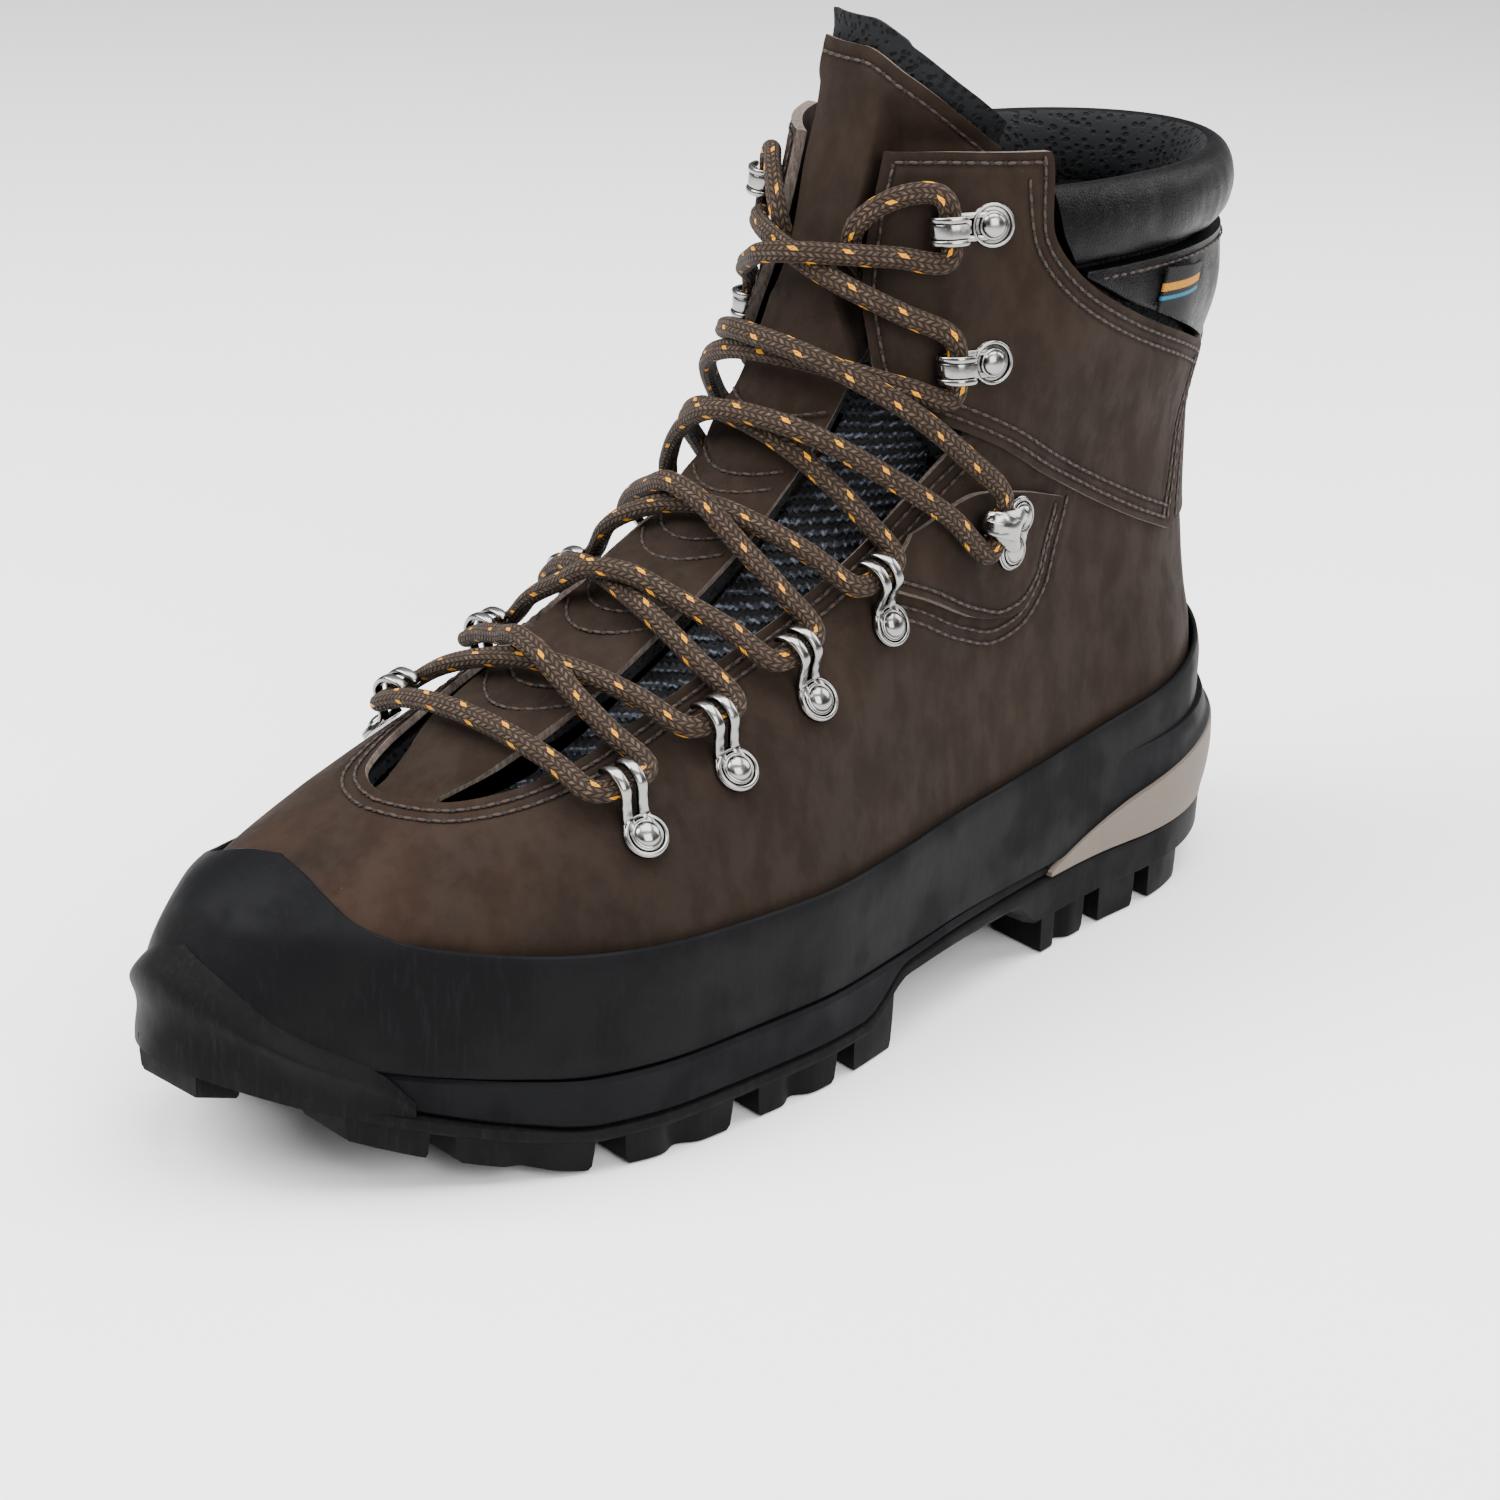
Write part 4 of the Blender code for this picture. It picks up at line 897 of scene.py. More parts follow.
def make_collar():
    """The padded band between the ankle panels, and the padded roll on top with mesh on its inside."""
    seam = float(smooth(156.8, SEAM_Z, SEAM_A))
    half = seam + (1 - seam) * np.linspace(0, 1, 150)
    a = np.concatenate([half, 2 - half[-2::-1]])
    low = np.interp(folded(a), [0.412, 0.51, 0.75, 1], [156.2, 147.6, 131.6, 137.2])
    v, z = rise(low, 157.2, 44)
    arch = np.sin(np.pi * v)
    bulge = 0.4 + 1.5 * np.sin(np.pi * share(z, 132, 25)) * arch ** 0.5
    folds = 0.35 * waves(skin(a, z) * (1, 1, 0.35), 5.5, 8) * arch
    band = shell("collar_band_fine", a, z, bulge + folds, -3.0, [COLLAR], "collar_leather", "collar_band")
    stations, sides = 150, 40
    turn = turns(sides)
    z, out = ROLL_Z + ROLL_HALF * np.sin(turn), ROLL_OUT + ROLL_THICK * np.cos(turn)
    seam = smooth(z, SEAM_Z, SEAM_A)
    u = np.concatenate([np.linspace(0, 1, stations), np.linspace(1, 0, stations)[1:]])[:, None]
    half = seam[None] + (1 - seam[None]) * u
    along = np.arange(len(u))
    a = np.where((along >= stations)[:, None], 2 - half, half)
    z = np.broadcast_to(z, a.shape)
    points = skin(a, z, out)
    crease = waves(points * (1, 1, 0.45), 7, 5) * 0.4 + waves(points * (1, 1, 0.3), 2.6, 9) * 0.12
    ends = share(np.minimum(along, along[::-1]), 0, 6)[:, None]
    points = skin(a, z, out * (0.85 + 0.15 * ends) + crease * np.abs(np.cos(turn)))
    faces = solid_faces(len(u), sides, flip=True)
    inside = [int(math.cos(turn[i % sides]) < -0.25) for i in range(len(faces))]
    roll = mesh_object("collar_roll_fine", points.reshape(-1, 3), faces, [COLLAR, MESH], slots=inside)
    finish_piece(roll, "boot", "collar_leather", "collar_roll")


def make_linings():
    """The lining of the shaft, from one side of the throat round the heel to the other."""
    low = PANEL_LOW + [(0.86, BACK_LOW), (0.95, BACK_LOW), (1, BACK_LOW)]
    high = [(0.1, 182.5), (0.2, 183), (0.295, 183), (0.33, 170), (0.385, 160.5), (0.5, 160.5), (0.7, 160.5),
            (0.86, 160.5), (0.95, 160.5), (1, 160.5)]
    low, high = (route(edge + [(a + 2, z) for a, z in shifted(edge[:-1], -1)], 240) for edge in (low, high))
    a, z = between(low, high, 44)
    shell("shaft_lining_fine", a, z, LINING_OUT, LINING_IN, [MESH], "mesh_lining", "shaft_lining")


def make_tongue():
    """The tongue's leather, puffed between its seams, and the padded mesh behind it."""
    a, z = tongue_grid(170, 190, TONGUE_ROOT)
    level = z - SEAM_SAG * np.linspace(-1, 1, 170) ** 2
    puff = 1.2 * np.abs(np.sin(np.pi * np.clip((level - 71) / SEAM_PITCH, 0, 5))) ** 0.6
    face = tongue_face(a, z)
    outer = face + puff - pressed(a, z) + relief(a, z, 15, 0.5) * share(z, 70, 8)
    shell("tongue_leather_fine", a, z, outer, face - 1.2, [TONGUE_NUBUCK, EDGE], "nubuck", "tongue_leather",
          body="tongue", rim=0.35)
    a, z = tongue_grid(120, 130, TONGUE_Z[0] + 8)
    v = np.linspace(0, 1, 130)[:, None]
    z = z + 5.5 * v ** 8
    face = tongue_face(a, z)
    edge = np.minimum(1, 6 * np.minimum(v, 1 - v)) ** 0.5
    inner = face - 2.4 - 4.2 * edge + 0.5 * waves(form(a, z), 9, 4)
    pad = shell("tongue_pad_fine", a, z, face - 2.0 + 0.6 * v ** 30, inner, [MESH], "mesh_lining",
                "tongue_pad", body="tongue", rim=0.5)


def make_gussets():
    """The stretched knit sheets between the tongue and the eyestays, running from the tongue's edges out to
    the eyestays.
    """
    for side, word in SIDES:
        z = np.linspace(GUSSET_Z[0], GUSSET_Z[-1], 72)
        inner = smooth(z, TONGUE_Z, TONGUE_LATERAL) + 0.012
        outer = smooth(z, GUSSET_Z, GUSSET_A)
        v = np.linspace(0, 1, 34)[None]
        a = (side * (inner[:, None] * (1 - v) + outer[:, None] * v))[:, ::side]
        z = np.broadcast_to(z[:, None], a.shape)
        sag = GUSSET_OUT + 0.3 * waves(form(a, z), 7, 2)
        points = skin(a, z, sag)
        obj = wall("gusset_fine_" + word, points, skin(a, z, sag - GUSSET_THICK), [WEBBING], rim=0)
        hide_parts("gusset_" + word)
        cells = np.cross(points[1:, 1:] - points[:-1, :-1], points[1:, :-1] - points[:-1, 1:])
        start, end = ((skin(a[32, ::side][k], 100, -6) - ORIGIN) * MM for k in (8, -4))
        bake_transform(obj)


def make_tag():
    start, wide = 0.545, 0.08
    a = np.linspace(start, start + wide, 40)
    low = np.interp(a, [0.545, 0.58, 0.625], [145.3, 143, 140])
    _, z = rise(low, 155 - 0.8 * (a - start) / wide, 30)
    bow = 2.6 + 0.9 * np.sin(np.pi * (a - start) / wide)
    shell("side_tag_fine", a, z, bow, bow - 0.9, [RIBBON], "tag", "side_tag", rim=0.25)


# ---------------------------------------------------------------- the sole


def sole_ring(level, lift, reach, inset, count=160):
    """The sole's outline at level(y) plus a lift, standing out from the skin by reach(a) less an inset."""
    a = np.concatenate([np.linspace(0, 1, count + 1), -np.linspace(1, 0, count + 1)[1:-1]])
    points = skin(a, SOLE_LEVEL)
    ahead = skin(np.clip(a + 2e-3, -1, 1), SOLE_LEVEL) - skin(np.clip(a - 2e-3, -1, 1), SOLE_LEVEL)
    out = unit(np.stack([ahead[:, 1], -ahead[:, 0]], -1))
    out[count] = (0, 1)
    points[:, 2] = level(points[:, 1]) + lift
    points[:, :2] += out * (reach(a) - inset)[:, None]
    return points


def slab_mesh(rows):
    """A solid from stacked outlines, its two ends closed by strips from side to side."""
    loops = [sole_ring(*row) for row in rows]
    count = len(loops[0])
    faces = grid_quads(len(loops), count, 0, False, True)
    for first, flip in ((0, True), ((len(loops) - 1) * count, False)):
        for j in range(count // 2):
            face = [first + j, first + j + 1, first + (count - j - 1) % count, first + (count - j) % count]
            face = [v for n, v in enumerate(face) if v not in face[:n]]
            faces.append(face[::-1] if flip else face)
    return np.concatenate(loops), faces


def slab_bottom(y):
    return ground(y) * SLAB_SPRING_SHARE + smooth(y, SLAB_Y, SLAB_BOTTOM)


def slab_top(y):
    return ground(y) * SLAB_SPRING_SHARE + smooth(y, SLAB_Y, SLAB_TOP)


def sole_edge(a):
    """How far the outsole stands out from the skin: more round the heel."""
    return 4.4 + 2.6 * share(np.abs(a), 0.72, 0.2)


def side_position(y):
    front, back = smooth(SOLE_LEVEL, LEVELS, FRONT_Y), smooth(SOLE_LEVEL, LEVELS, BACK_Y)
    return math.acos(1 - 2 * (y - front) / (back - front)) / math.pi


def block(plan, low, high, taper):
    """A prism on plan points, drawn in at its foot and rounded by a step before it."""
    plan = np.asarray(plan, float)
    middle, verts = plan.mean(axis=0), []
    for v, shrink in ((0, taper), (0.12, taper * 0.45), (0.5, taper * 0.15), (1, 0)):
        ring = middle + (plan - middle) * (1 - shrink)
        level = low(ring[:, 1]) * (1 - v) + high(ring[:, 1]) * v
        verts += [(*p, z) for p, z in zip(ring, level)]
    return np.array(verts), solid_faces(4, len(plan))


def lug_plans():
    """Plan outlines of the side lugs, each with a scalloped notch, and of the toe, heel and centre lugs."""
    plans = []
    along = np.linspace(0, 1, 25)
    for start, end in SIDE_LUGS:
        for side, _ in SIDES:
            a = side * np.array([side_position(v) for v in np.linspace(start, end, 25)])
            edge = skin(a, SOLE_LEVEL)[:, :2]
            notch = 2.4 * np.exp(-((along - 0.5) / 0.13) ** 2) if end - start > 16 else 0.0
            edge[:, 0] += side * (4.2 - notch)
            plan = np.concatenate([edge, [edge[-1] - [side * 17, 2], edge[0] - [side * 17, -2]]])
            plans.append(plan[::side])
    # Middle (x beside the centre line, y), half sizes and slant.
    boxes = [(0, -141, 9, 5.5, 0), (0, 139, 11, 6, 0)]
    boxes += [(side * 11, y, 7, 6, 3 * side) for y in CENTRE_LUGS for side in (1, -1)]
    for aside, y, half, deep, slant in boxes:
        x = aside + float(smooth(y, CENTRE_Y, CENTRE_X))
        plans.append([(x + s * half, y + t * deep - s * slant) for s, t in CORNERS])
    return plans


def foot_level(y):
    return FOOT_BASE + TOE_SPRING_SHARE * ground(y)


def midsole_edge(a):
    return np.interp(np.abs(a), [0.17, 0.3, 0.5, 0.68], [2.2, 4.0, 4.0, 1.8])


def make_sole():
    """Outsole with lugs and toe wrap, midsole, heel insert, the cradle above it and the insole."""
    parts = [slab_mesh([(slab_bottom, 1.6, sole_edge, 2.4), (slab_bottom, 2.0, sole_edge, 1.0),
                        (slab_bottom, 2.9, sole_edge, 0.1), (slab_top, -1.6, sole_edge, 0),
                        (slab_top, -0.5, sole_edge, 0.4), (slab_top, 0.0, sole_edge, 1.5)])]
    parts += [block(plan, ground, lambda y: slab_bottom(y) + 4.2, 0.1) for plan in lug_plans()]
    outsole = mesh_object("outsole_fine", *joined(parts), [SOLE_RUBBER])
    soften(outsole, 0.55, 38)
    finish_piece(outsole, "boot", "outsole_rubber", "outsole")

    a = np.linspace(-WRAP_A[-1], WRAP_A[-1], 130)
    low = (foot_base(a) - FOOT_BASE) / TOE_SPRING_SHARE + 6.5
    v, z = rise(low, smooth(np.abs(a), WRAP_A, WRAP_Z), 40)
    swell = CUP_OUT - 0.6 + 0.7 * np.exp(-((v - 0.72) / 0.13) ** 2) - 0.6 * np.exp(-((v - 0.4) / 0.2) ** 2)
    swell = swell - 2.3 * share(v, 0.72, 0.28) ** 1.5
    swell = 3.0 + (swell - 3.0) * (0.35 + 0.65 * ease(share(WRAP_A[-1], np.abs(a), 0.07)))
    shell("toe_wrap", a, z, swell, 2.9, [SOLE_RUBBER], "outsole_rubber", rim=0.4)

    rows = [(slab_top, 0.3, midsole_edge, 0.6), (slab_top, 1.0, midsole_edge, 0.0),
            (foot_level, -0.9, midsole_edge, 0.1), (foot_level, 0.0, midsole_edge, 0.9)]
    midsole = mesh_object("midsole_fine", *slab_mesh(rows), [MIDSOLE_RUBBER])
    finish_piece(midsole, "boot", "midsole_rubber", "midsole")

    a = np.linspace(INSERT_A[0], 2 - INSERT_A[0], 220)
    back = folded(a)
    flare, start = share(back, 0.7, 0.2), ease(share(back, INSERT_A[0], 0.22))
    top = smooth(back, INSERT_A, INSERT_Z)
    v, z = rise(SLAB_TOP[-1] + 0.15, top, 26)
    bow = 3.5 + (CUP_OUT - 3.5 + 1.3 * flare + 0.7 * np.sin(np.pi * v)) * start
    shell("heel_insert_fine", a, z, bow, 1.2, [INSERT], "insert", "heel_insert", rim=0.4)
    _, z = rise(top + 0.15, 38 + 5.0 * share(back, 0.6, 0.3), 26)
    lip = 1.9 * flare * np.exp(-(v / 0.28) ** 2) - 1.0 * v ** 3
    shell("heel_cradle_fine", a, z, 2.2 + (2.8 + lip) * start, 0.6, [MIDSOLE_RUBBER], "midsole_rubber",
          "heel_cradle", rim=0.5)

    rows = [(foot_level, lift, np.zeros_like, inset) for lift, inset in INSOLE_STEPS]
    finish_piece(mesh_object("insole_fine", *slab_mesh(rows), [MESH]), "footbed", "insole_foam", "insole")


# ---------------------------------------------------------------- lace hardware

BAR_SIDES = 16

# Each row is (name, a, z, towards a, towards z, kind) on the lateral side.
HARDWARE = [
    ("eyelet_1", 0.262, 65.2, 0.191, 73.2, "eyelet"),
    ("eyelet_2", 0.292, 72.8, 0.227, 80.6, "eyelet"),
    ("eyelet_3", 0.323, 81.3, 0.265, 89.2, "eyelet"),
    ("eyelet_4", 0.362, 91.2, 0.307, 99.3, "eyelet"),
    ("ankle_hook", 0.452, 102.6, 0.39, 107.0, "lock"),
    ("hook_1", 0.302, 140.2, 0.243, 140.0, "hook"),
    ("hook_2", 0.249, 169.0, 0.182, 168.2, "hook"),
]
SEAT = {"eyelet": 0.5, "lock": 2.7, "hook": 0.4}
ARM = [(-1.0, 0.9), (2.6, 0.95), (4.8, 3.2), (7.4, 6.5), (11.0, 6.5), (13.3, 4.0), (13.7, 1.7)]
BAR = [(-1.0, 0.9), (3.0, 0.7), (9.6, 0.7), (12.2, 2.2), (12.2, 4.9), (9.8, 7.1), (5.6, 6.9)]
LACE_SEAT = {"eyelet": (9.1, 3.05), "lock": (8.3, 3.45), "hook": (8.3, 3.45)}
RIVET = [(0.0, 0.9), (3.15, 0.9), (3.15, 1.4), (2.95, 1.6), (2.7, 1.62), (2.6, 1.9), (2.35, 2.2), (1.9, 2.5),
         (1.35, 2.72), (0.7, 2.85), (0.25, 2.89), (0.0, 2.9)]


def hardware_frame(place, side):
    """Foot point on the skin, direction towards the throat, direction up the throat and outward normal."""
    _, a, z, a2, z2, kind = place
    shift = MEDIAL_SHIFT if side < 0 and z > 125 else 0
    a, a2 = side * (a + shift), side * (a2 + shift)
    foot = skin(a, z, 0.0)
    normal = skin(a, z, 1.0) - foot
    ahead = skin(a2, z2, 0.0) - foot
    ahead -= normal * (ahead @ normal)
    ahead /= np.linalg.norm(ahead)
    return foot + normal * SEAT[kind], ahead, np.cross(ahead, normal) * side, normal


def placed(frame, u, w, h):
    foot, ahead, along, normal = frame
    return foot + ahead * u + along * w + normal * h


def revolve(profile, frame, u, w, sides=40):
    """A turned piece on an axis along the normal."""
    round_it = [(math.cos(t), math.sin(t)) for t in turns(sides)]
    verts = [placed(frame, u + r * x, w + r * y, h) for r, h in profile for x, y in round_it]
    return verts, grid_quads(len(profile), sides, 0, False, True)


def ring_round(frame, u, w, radius, thick, height):
    """A round wire ring lying on the plate."""
    turn = 2 * np.pi * np.arange(11) / 10
    section = zip(radius + thick * np.cos(turn), height + thick * np.sin(turn))
    return revolve(list(section), frame, u, w, 48)


def plate(outline, frame, low, high, edge=0.25):
    """A flat plate with softened upper edge on an outline of (ahead, along) points."""
    outline = np.asarray(outline, float)
    middle = outline.mean(axis=0)
    verts = []
    for level, shrink in ((low, 0), (high - edge, 0), (high - edge * 0.3, 0.03), (high, 0.08)):
        ring = middle + (outline - middle) * (1 - shrink)
        verts += [placed(frame, u, w, level) for u, w in ring]
    return verts, solid_faces(4, len(outline))


def bent_bar(path, frame, w, width, thick, ends=0.5):
    """A rounded bar bent along (ahead, out) points, at an offset w along the throat."""
    path = smooth_route([(u, 0, h) for u, h in path], 0.45)[:, [0, 2]]
    step = unit(np.gradient(path, axis=0))
    across, over = np.cos(turns(BAR_SIDES)), np.sin(turns(BAR_SIDES))
    flat = np.sign(across) * np.abs(across) ** 0.6, np.sign(over) * np.abs(over) ** 0.8
    count = len(path)
    verts = []
    for i, ((u, h), (du, dh)) in enumerate(zip(path, step)):
        left = min(i, count - 1 - i) / 3
        full = 1 if left >= 1 else ends + (1 - ends) * math.sqrt(1 - (1 - left) ** 2)
        for s, t in zip(*flat):
            lift = t * thick / 2 * full
            verts.append(placed(frame, u - dh * lift, w + s * width / 2 * full, h + du * lift))
    return verts, solid_faces(count, BAR_SIDES)


def arc(radius, start, end, u, w=0.0, count=28):
    turn = np.radians(np.linspace(start, end, count))
    return [(u + radius * math.cos(t), w + radius * math.sin(t)) for t in turn]


def beak(frame):
    """A domed, pointed cover over the lace at the ankle hook."""
    rows, columns, verts = 22, 21, []
    for layer in (0.0, -0.95):
        for v in np.arange(rows) / (rows - 1):
            waist = 1 - 0.18 * math.exp(-(v / 0.16) ** 2)
            half = 4.9 * math.sqrt(max(0.0, 1 - v ** 1.6)) * waist + 0.15
            arch = math.sin(math.pi * min(1, 0.18 + 0.82 * (1 - v))) ** 0.8
            for s in 2 * np.arange(columns) / (columns - 1) - 1:
                dip = 0.9 * math.exp(-(s / 0.3) ** 2) * math.exp(-((v - 0.08) / 0.14) ** 2)
                height = 5.9 + 2.3 * (1 - s * s) * arch - dip + layer - 1.2 * v ** 3
                verts.append(placed(frame, 2.6 + 10.8 * v, s * half, height))
    return verts, wall_faces(rows, columns)[0]


def metal(name, parts, nodes):
    """One nickel object from several closed parts, its faces turned outwards."""
    verts, faces = joined(parts)
    obj = mesh_object(name, verts, faces, [NICKEL], 45)
    work = bmesh.new()
    work.from_mesh(obj.data)
    bmesh.ops.recalc_face_normals(work, faces=work.faces)
    work.to_mesh(obj.data)
    work.free()
    return finish_piece(obj, "boot", "nickel", *nodes)


def eyelet_parts(frame):
    outline = arc(4.7, 60, 300, -1.6) + [(2.4, -3.1), (3.4, -2.9), (3.4, 2.9), (2.4, 3.1)]
    parts = [plate(outline, frame, 0.1, 1.0), ring_round(frame, -1.6, 0, 4.15, 0.5, 1.05),
             ring_round(frame, -1.6, 0, 3.2, 0.35, 1.1), revolve(RIVET, frame, -1.6, 0)]
    return parts + [bent_bar(ARM, frame, w, 2.45, 1.5) for w in (-1.95, 1.95)]


def hook_parts(frame):
    parts = [plate(arc(4.9, 25, 335, -1.6), frame, 0.1, 1.0), revolve(RIVET, frame, -1.6, 0),
             ring_round(frame, -1.6, 0, 4.35, 0.48, 1.05)]
    parts += [bent_bar(BAR, frame, w, 1.5, 1.3) for w in (-2.4, 2.4)]
    return parts + [bent_bar(BAR[1:], frame, 0, 3.4, 0.7, 0.9)]


def lock_parts(frame):
    lobes = arc(4.4, 150, 300, -1.8, -3.8) + [(3.2, -5.4), (5.0, -3.0), (5.0, 3.0), (3.2, 5.4)]
    lobes += arc(4.4, 60, 210, -1.8, 3.8)
    parts = [plate(lobes, frame, 0.1, 1.0), beak(frame), bent_bar(BAR[1:], frame, 0, 5.4, 0.9, 0.9)]
    parts += [ring_round(frame, -1.8, w, 3.75, 0.4, 1.05) for w in (-3.8, 3.8)]
    return parts + [revolve(RIVET, frame, -1.8, w) for w in (-3.8, 3.8)]


def make_hardware():
    makers = {"eyelet": eyelet_parts, "hook": hook_parts, "lock": lock_parts}
    for side, word in SIDES:
        for place in HARDWARE:
            name = place[0] + "_" + word
            heads = ("rivet_a_", "rivet_b_") if place[-1] == "lock" else ("rivet_",)
            parts = makers[place[-1]](hardware_frame(place, side))
            metal(name + "_fine", parts, [name] + [head + name for head in heads])


# ---------------------------------------------------------------- lace

LACE_STEP = 0.8
TURN_HALF = 6.4
TURN_BEND = 1.2
STRAND_LIFT = 4.9
STRAND_ARCH = 24
TUCK = [(0.165, 175.5, 4.0), (0.115, 173.5, 3.8), (0.07, 167.5, 3.0), (0.064, 162.5, 0.2), (0.09, 158, -5.2),
        (0.13, 152.5, -8.4)]
TIP_ENDS = [(0.158, 149, -8.0), (0.186, 141, -8.0), (0.196, 132, -8.0)]


def lace_seat(row, side):
    """Points of the lace's turn through one piece of hardware, from its lower to its upper side."""
    foot, ahead, along, normal = hardware_frame(HARDWARE[row], side)
    u, h = LACE_SEAT[HARDWARE[row][-1]]
    centre = foot + ahead * u + normal * h
    return [centre + along * TURN_HALF * share + ahead * (TURN_BEND * share ** 2) for share in (-1, 0, 1)]


def locate(point):
    """Position (a, z, out) of a point near the skin, by a search that narrows step by step."""
    a, z, reach_a, reach_z = 0.0, point[2], 0.5, 20.0
    for _ in range(9):
        spread = np.linspace(-1, 1, 9)
        some_a, some_z = np.meshgrid(a + reach_a * spread, z + reach_z * spread)
        gap = np.linalg.norm(form(some_a, some_z) - point, axis=-1)
        best = np.unravel_index(gap.argmin(), gap.shape)
        a, z = some_a[best], some_z[best]
        reach_a, reach_z = reach_a * 0.45, reach_z * 0.45
    return np.array([a, z, gap.min()])


def strand(start, end, lift):
    """Points of the way from one turn to the next, lifted where this strand crosses the other."""
    start_out, end_out = locate(start)[2], locate(end)[2]
    points = []
    for u in (0.12, 0.27, 0.42, 0.58, 0.73, 0.88):
        point = start * (1 - u) + end * u
        ahead = skin(0.0, point[2] + 8, STRAND_ARCH) - skin(0.0, point[2] + 8)
        a, z, _ = locate(point + ahead * math.sin(math.pi * u))
        out = start_out * (1 - u) + end_out * u
        points.append(skin(a, z, out * 0.85 + 0.6 + lift * math.exp(-((u - 0.5) / 0.17) ** 2)))
    return points


def lace_half(side):
    """One half of the lace, from the first eyelet of a side up to its tucked-in end."""
    points = lace_seat(0, side)
    for row in range(len(HARDWARE) - 1):
        turn = lace_seat(row + 1, -side)
        points += strand(points[-1], turn[0], STRAND_LIFT if (row % 2 == 0) == (side > 0) else 0.0)
        side = -side
        points += turn
    return points, side


def tuck(side, places):
    shift = MEDIAL_SHIFT if side < 0 else 0
    return [skin(side * (a + shift), z, out) for a, z, out in places]


def smooth_route(points, longest):
    """Points along a centripetal Catmull-Rom curve through the route, each step no longer than given."""
    points = np.asarray(points, float)
    full = np.concatenate([[2 * points[0] - points[1]], points, [2 * points[-1] - points[-2]]])
    fine = []
    for p0, p1, p2, p3 in zip(full, full[1:], full[2:], full[3:]):
        knots = np.cumsum([0] + [np.linalg.norm(q - p) ** 0.5 for p, q in ((p0, p1), (p1, p2), (p2, p3))])
        steps = max(1, math.ceil(np.linalg.norm(p2 - p1) / longest))
        for t in np.linspace(knots[1], knots[2], steps, endpoint=False):
            bend = (p0, p1, p2, p3)
            for reach in (1, 2):
                bend = [((knots[i + reach] - t) * p + (t - knots[i]) * q) / (knots[i + reach] - knots[i])
                        for i, (p, q) in enumerate(zip(bend, bend[1:]))]
            fine.append(((knots[2] - t) * bend[0] + (t - knots[1]) * bend[1]) / (knots[2] - knots[1]))
    return np.array(fine + [points[-1]])


def tube(name, path, every, half_width, half_height, crease, material, sides=24):
    """A two-lobed tube along a path, its flat side on the skin, mapped by its length."""
    step, outward = unit(np.gradient(path, axis=0)), skin_normals(path, every)
    up = unit(outward - step * (outward * step).sum(axis=1, keepdims=True))
    side, turn = np.cross(step, up), turns(sides)
    dent = 1 - crease * np.exp(-(np.cos(turn) / 0.3) ** 2)
    x, y = half_width * np.cos(turn), half_height * np.sin(turn) * dent
    verts = path[:, None] + side[:, None] * x[None, :, None] + up[:, None] * y[None, :, None]
    faces = solid_faces(len(path), sides)
    along = lengths(path) * MM
    obj = mesh_object(name, verts.reshape(-1, 3), faces, [material], 60)
    layer = obj.data.uv_layers.new(name="UVMap")
    for polygon in obj.data.polygons:
        last = polygon.index < len(faces) - 2 and polygon.index % sides == sides - 1
        for i in polygon.loop_indices:
            row, j = divmod(obj.data.loops[i].vertex_index, sides)
            layer.data[i].uv = (along[row], 1.0 if last and j == 0 else j / sides)
    return obj


def skin_normals(path, every):
    """Outward directions along a path, from the skin's normals at some of its points."""
    picks = np.unique(np.append(np.arange(0, len(path), every), len(path) - 1))
    found = np.array([normal_at(*locate(point)[:2]) for point in path[picks]])
    return np.stack([np.interp(np.arange(len(path)), picks, found[:, k]) for k in range(3)], -1)


def make_lace():
    """The lace from one tucked-in end to the other, and its two tips."""
    halves = []
    for side, _ in SIDES:
        points, end = lace_half(side)
        halves.append(points + tuck(end, TUCK))
    one, other = halves
    path = smooth_route(other[::-1] + strand(other[0], one[0], 0.0) + one, LACE_STEP)
    lace = tube("lace_braided", path, 12, 2.35, 2.0, 0.16, BRAID)
    finish_piece(lace, "boot", "lace", "lace")
    for side, word in SIDES:
        path = smooth_route(tuck(side, TIP_ENDS), LACE_STEP)
        tip = tube("lace_tip_fine_" + word, path, 3, 1.4, 1.4, 0.0, TIP, 16)
        finish_piece(tip, "boot", "lace_tip", "lace_tip_" + word)


# ---------------------------------------------------------------- studio


CAMERA_PLACE = Vector((0.451954, -0.4952, 0.3191))
CAMERA_AIM = Vector((0.027154, -0.02787, 0.0678))
CAMERA_ROLL = math.radians(2.4)
CAMERA_LENS = 78.6
FLOOR_HALF = 40
FLOOR_Z = -0.0004
LAMP_AIM = Vector((0, 0, 0.08))
LAMPS = (("key", (-0.55, -0.75, 1.05), 0.9, 34), ("fill", (1.15, -0.35, 0.7), 0.9, 20),
         ("top", (0.1, 0.15, 1.3), 1.1, 30), ("rim", (0.4, 1.0, 0.7), 0.7, 10))
# Brightness of the sky from the ground (0) to straight up (1).
SKY = ((0.02, 0.6), (0.16, 0.22), (0.34, 0.15), (0.5, 0.5), (0.75, 1.2))


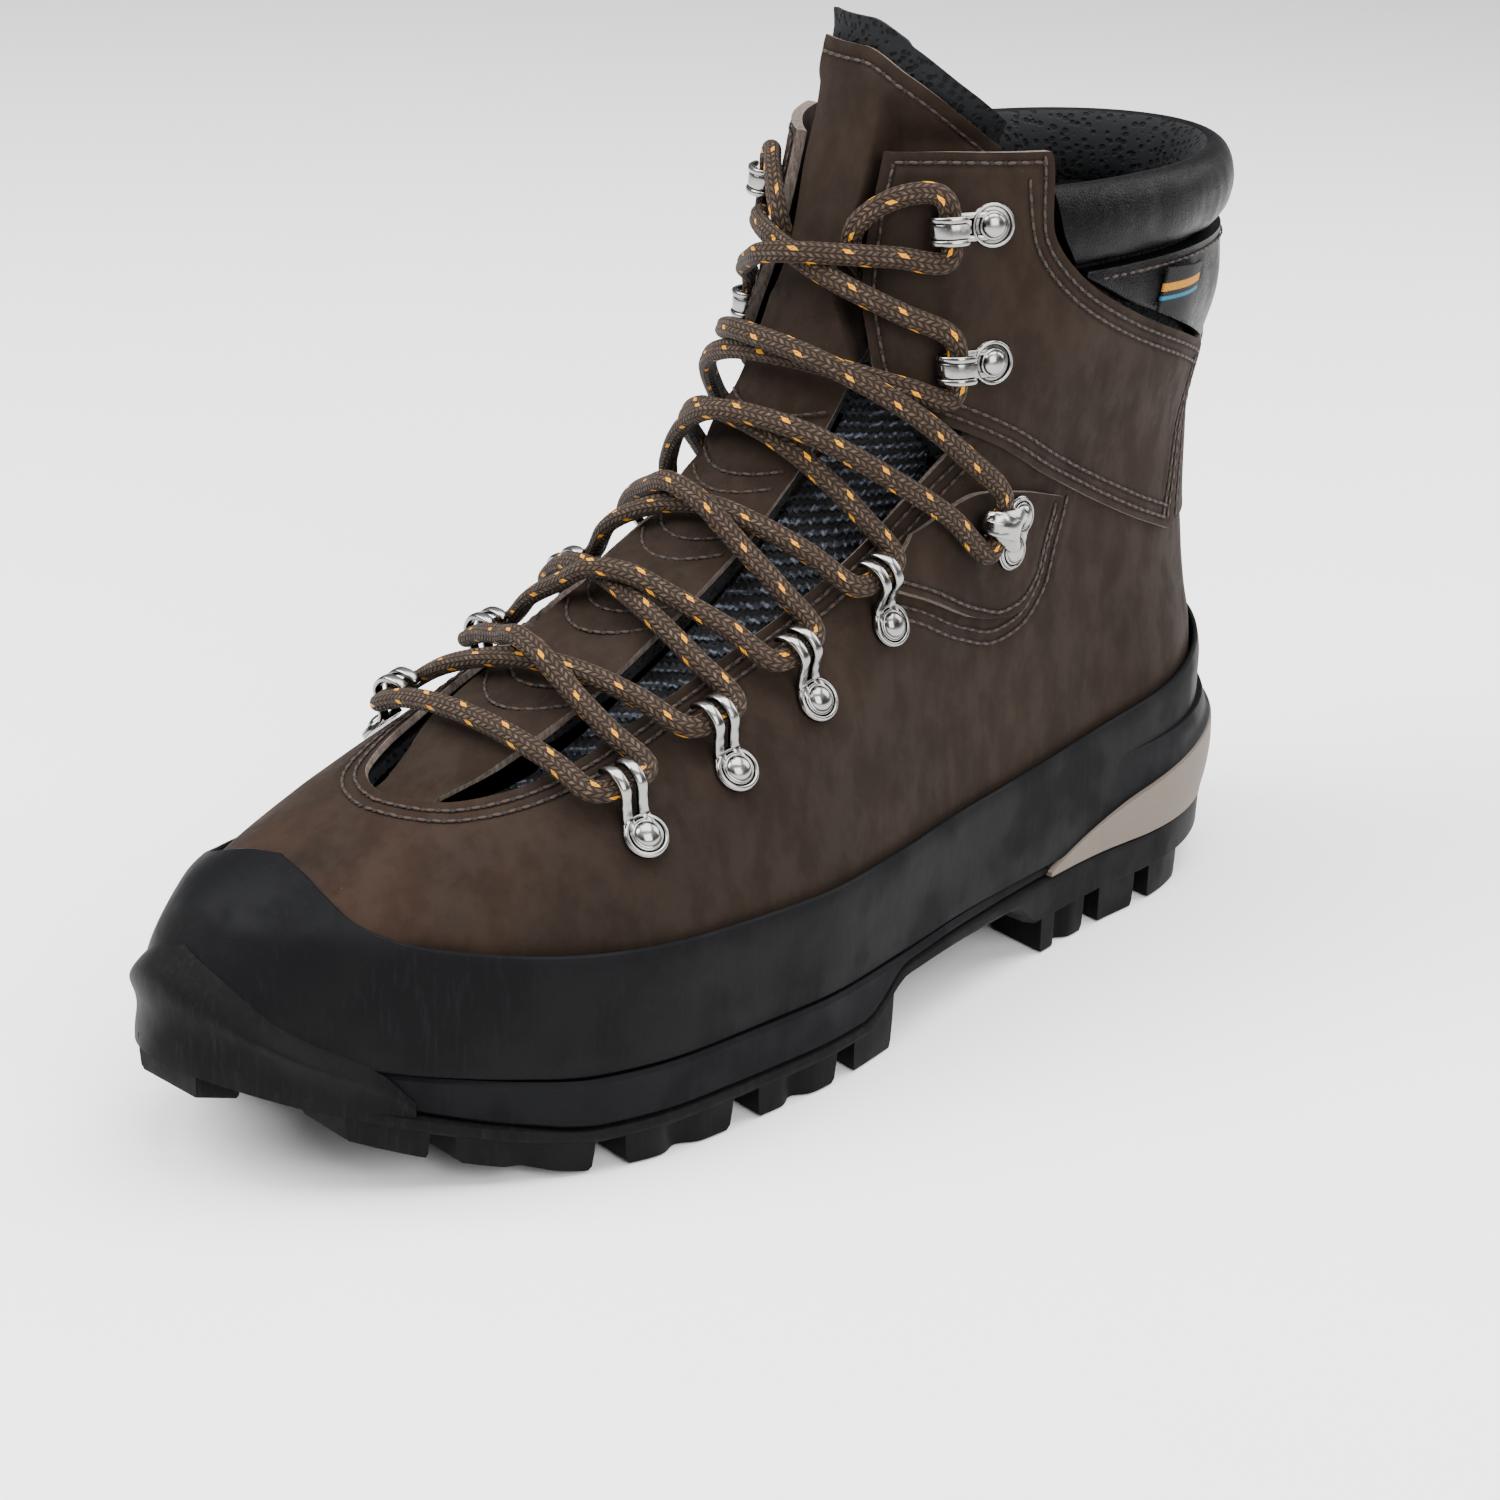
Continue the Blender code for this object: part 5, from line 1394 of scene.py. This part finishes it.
def make_studio():
    """Camera, paper floor, four lamps and a soft sky."""
    camera = added("camera", bpy.data.cameras.new("camera"))
    forward = (CAMERA_AIM - CAMERA_PLACE).normalized()
    right = forward.cross(Vector((0, 0, 1))).normalized()
    up = right.cross(forward)
    x = right * math.cos(CAMERA_ROLL) + up * math.sin(CAMERA_ROLL)
    y = up * math.cos(CAMERA_ROLL) - right * math.sin(CAMERA_ROLL)
    turn = Matrix((x, y, -forward)).transposed().to_4x4()
    camera.matrix_world = Matrix.Translation(CAMERA_PLACE) @ turn
    camera.data.lens = CAMERA_LENS
    camera.data.sensor_width = 36
    bpy.context.scene.camera = camera
    floor = bpy.data.meshes.new("floor")
    floor.from_pydata([(x * FLOOR_HALF, y * FLOOR_HALF, FLOOR_Z) for x, y in CORNERS], [], [(0, 1, 2, 3)])
    look = Look("paper", 0.9)
    look.put("Base Color", look.mix(look.noise(60, 2), (0.90, 0.90, 0.90), (0.93, 0.93, 0.93)))
    floor.materials.append(look.material)
    added("floor", floor)
    for name, place, size, power in LAMPS:
        lamp = bpy.data.lights.new(name, "AREA")
        lamp.size, lamp.energy = size, power
        obj = added(name, lamp)
        obj.location = place
        obj.rotation_euler = (LAMP_AIM - Vector(place)).to_track_quat("-Z", "Y").to_euler()
    world = bpy.data.worlds.new("studio")
    world.use_nodes = True
    tree = world.node_tree
    height = tree.nodes.new("ShaderNodeSeparateXYZ")
    tree.links.new(tree.nodes.new("ShaderNodeTexCoord").outputs["Generated"], height.inputs[0])
    sky = tree.nodes.new("ShaderNodeValToRGB")
    sky.color_ramp.elements[0].color = (0.85, 0.85, 0.85, 1)
    for place, shade in SKY:
        stop = sky.color_ramp.elements.new(place)
        stop.color = (shade, shade, shade * 1.02, 1)
    tree.links.new(height.outputs[2], sky.inputs[0])
    tree.links.new(sky.outputs[0], tree.nodes["Background"].inputs["Color"])
    tree.nodes["Background"].inputs["Strength"].default_value = 0.9
    bpy.context.scene.world = world


def dress_hidden_boards():
    """Materials for the CAD pieces that keep their own shape."""
    boards = {"toe_puff": BOARD, "heel_counter": BOARD, "lasting_board": BOARD, "shank": STEEL}
    for node, material in boards.items():
        materials = bpy.data.objects[node].data.materials
        materials.clear()
        materials.append(material)


make_studio()
make_lace()
note_seams()
FURROWS = furrow_tree()
make_hardware()
make_lower()
make_panels()
make_collar()
make_linings()
make_tongue()
make_gussets()
make_tag()
make_sole()
make_stitches()
dress_hidden_boards()
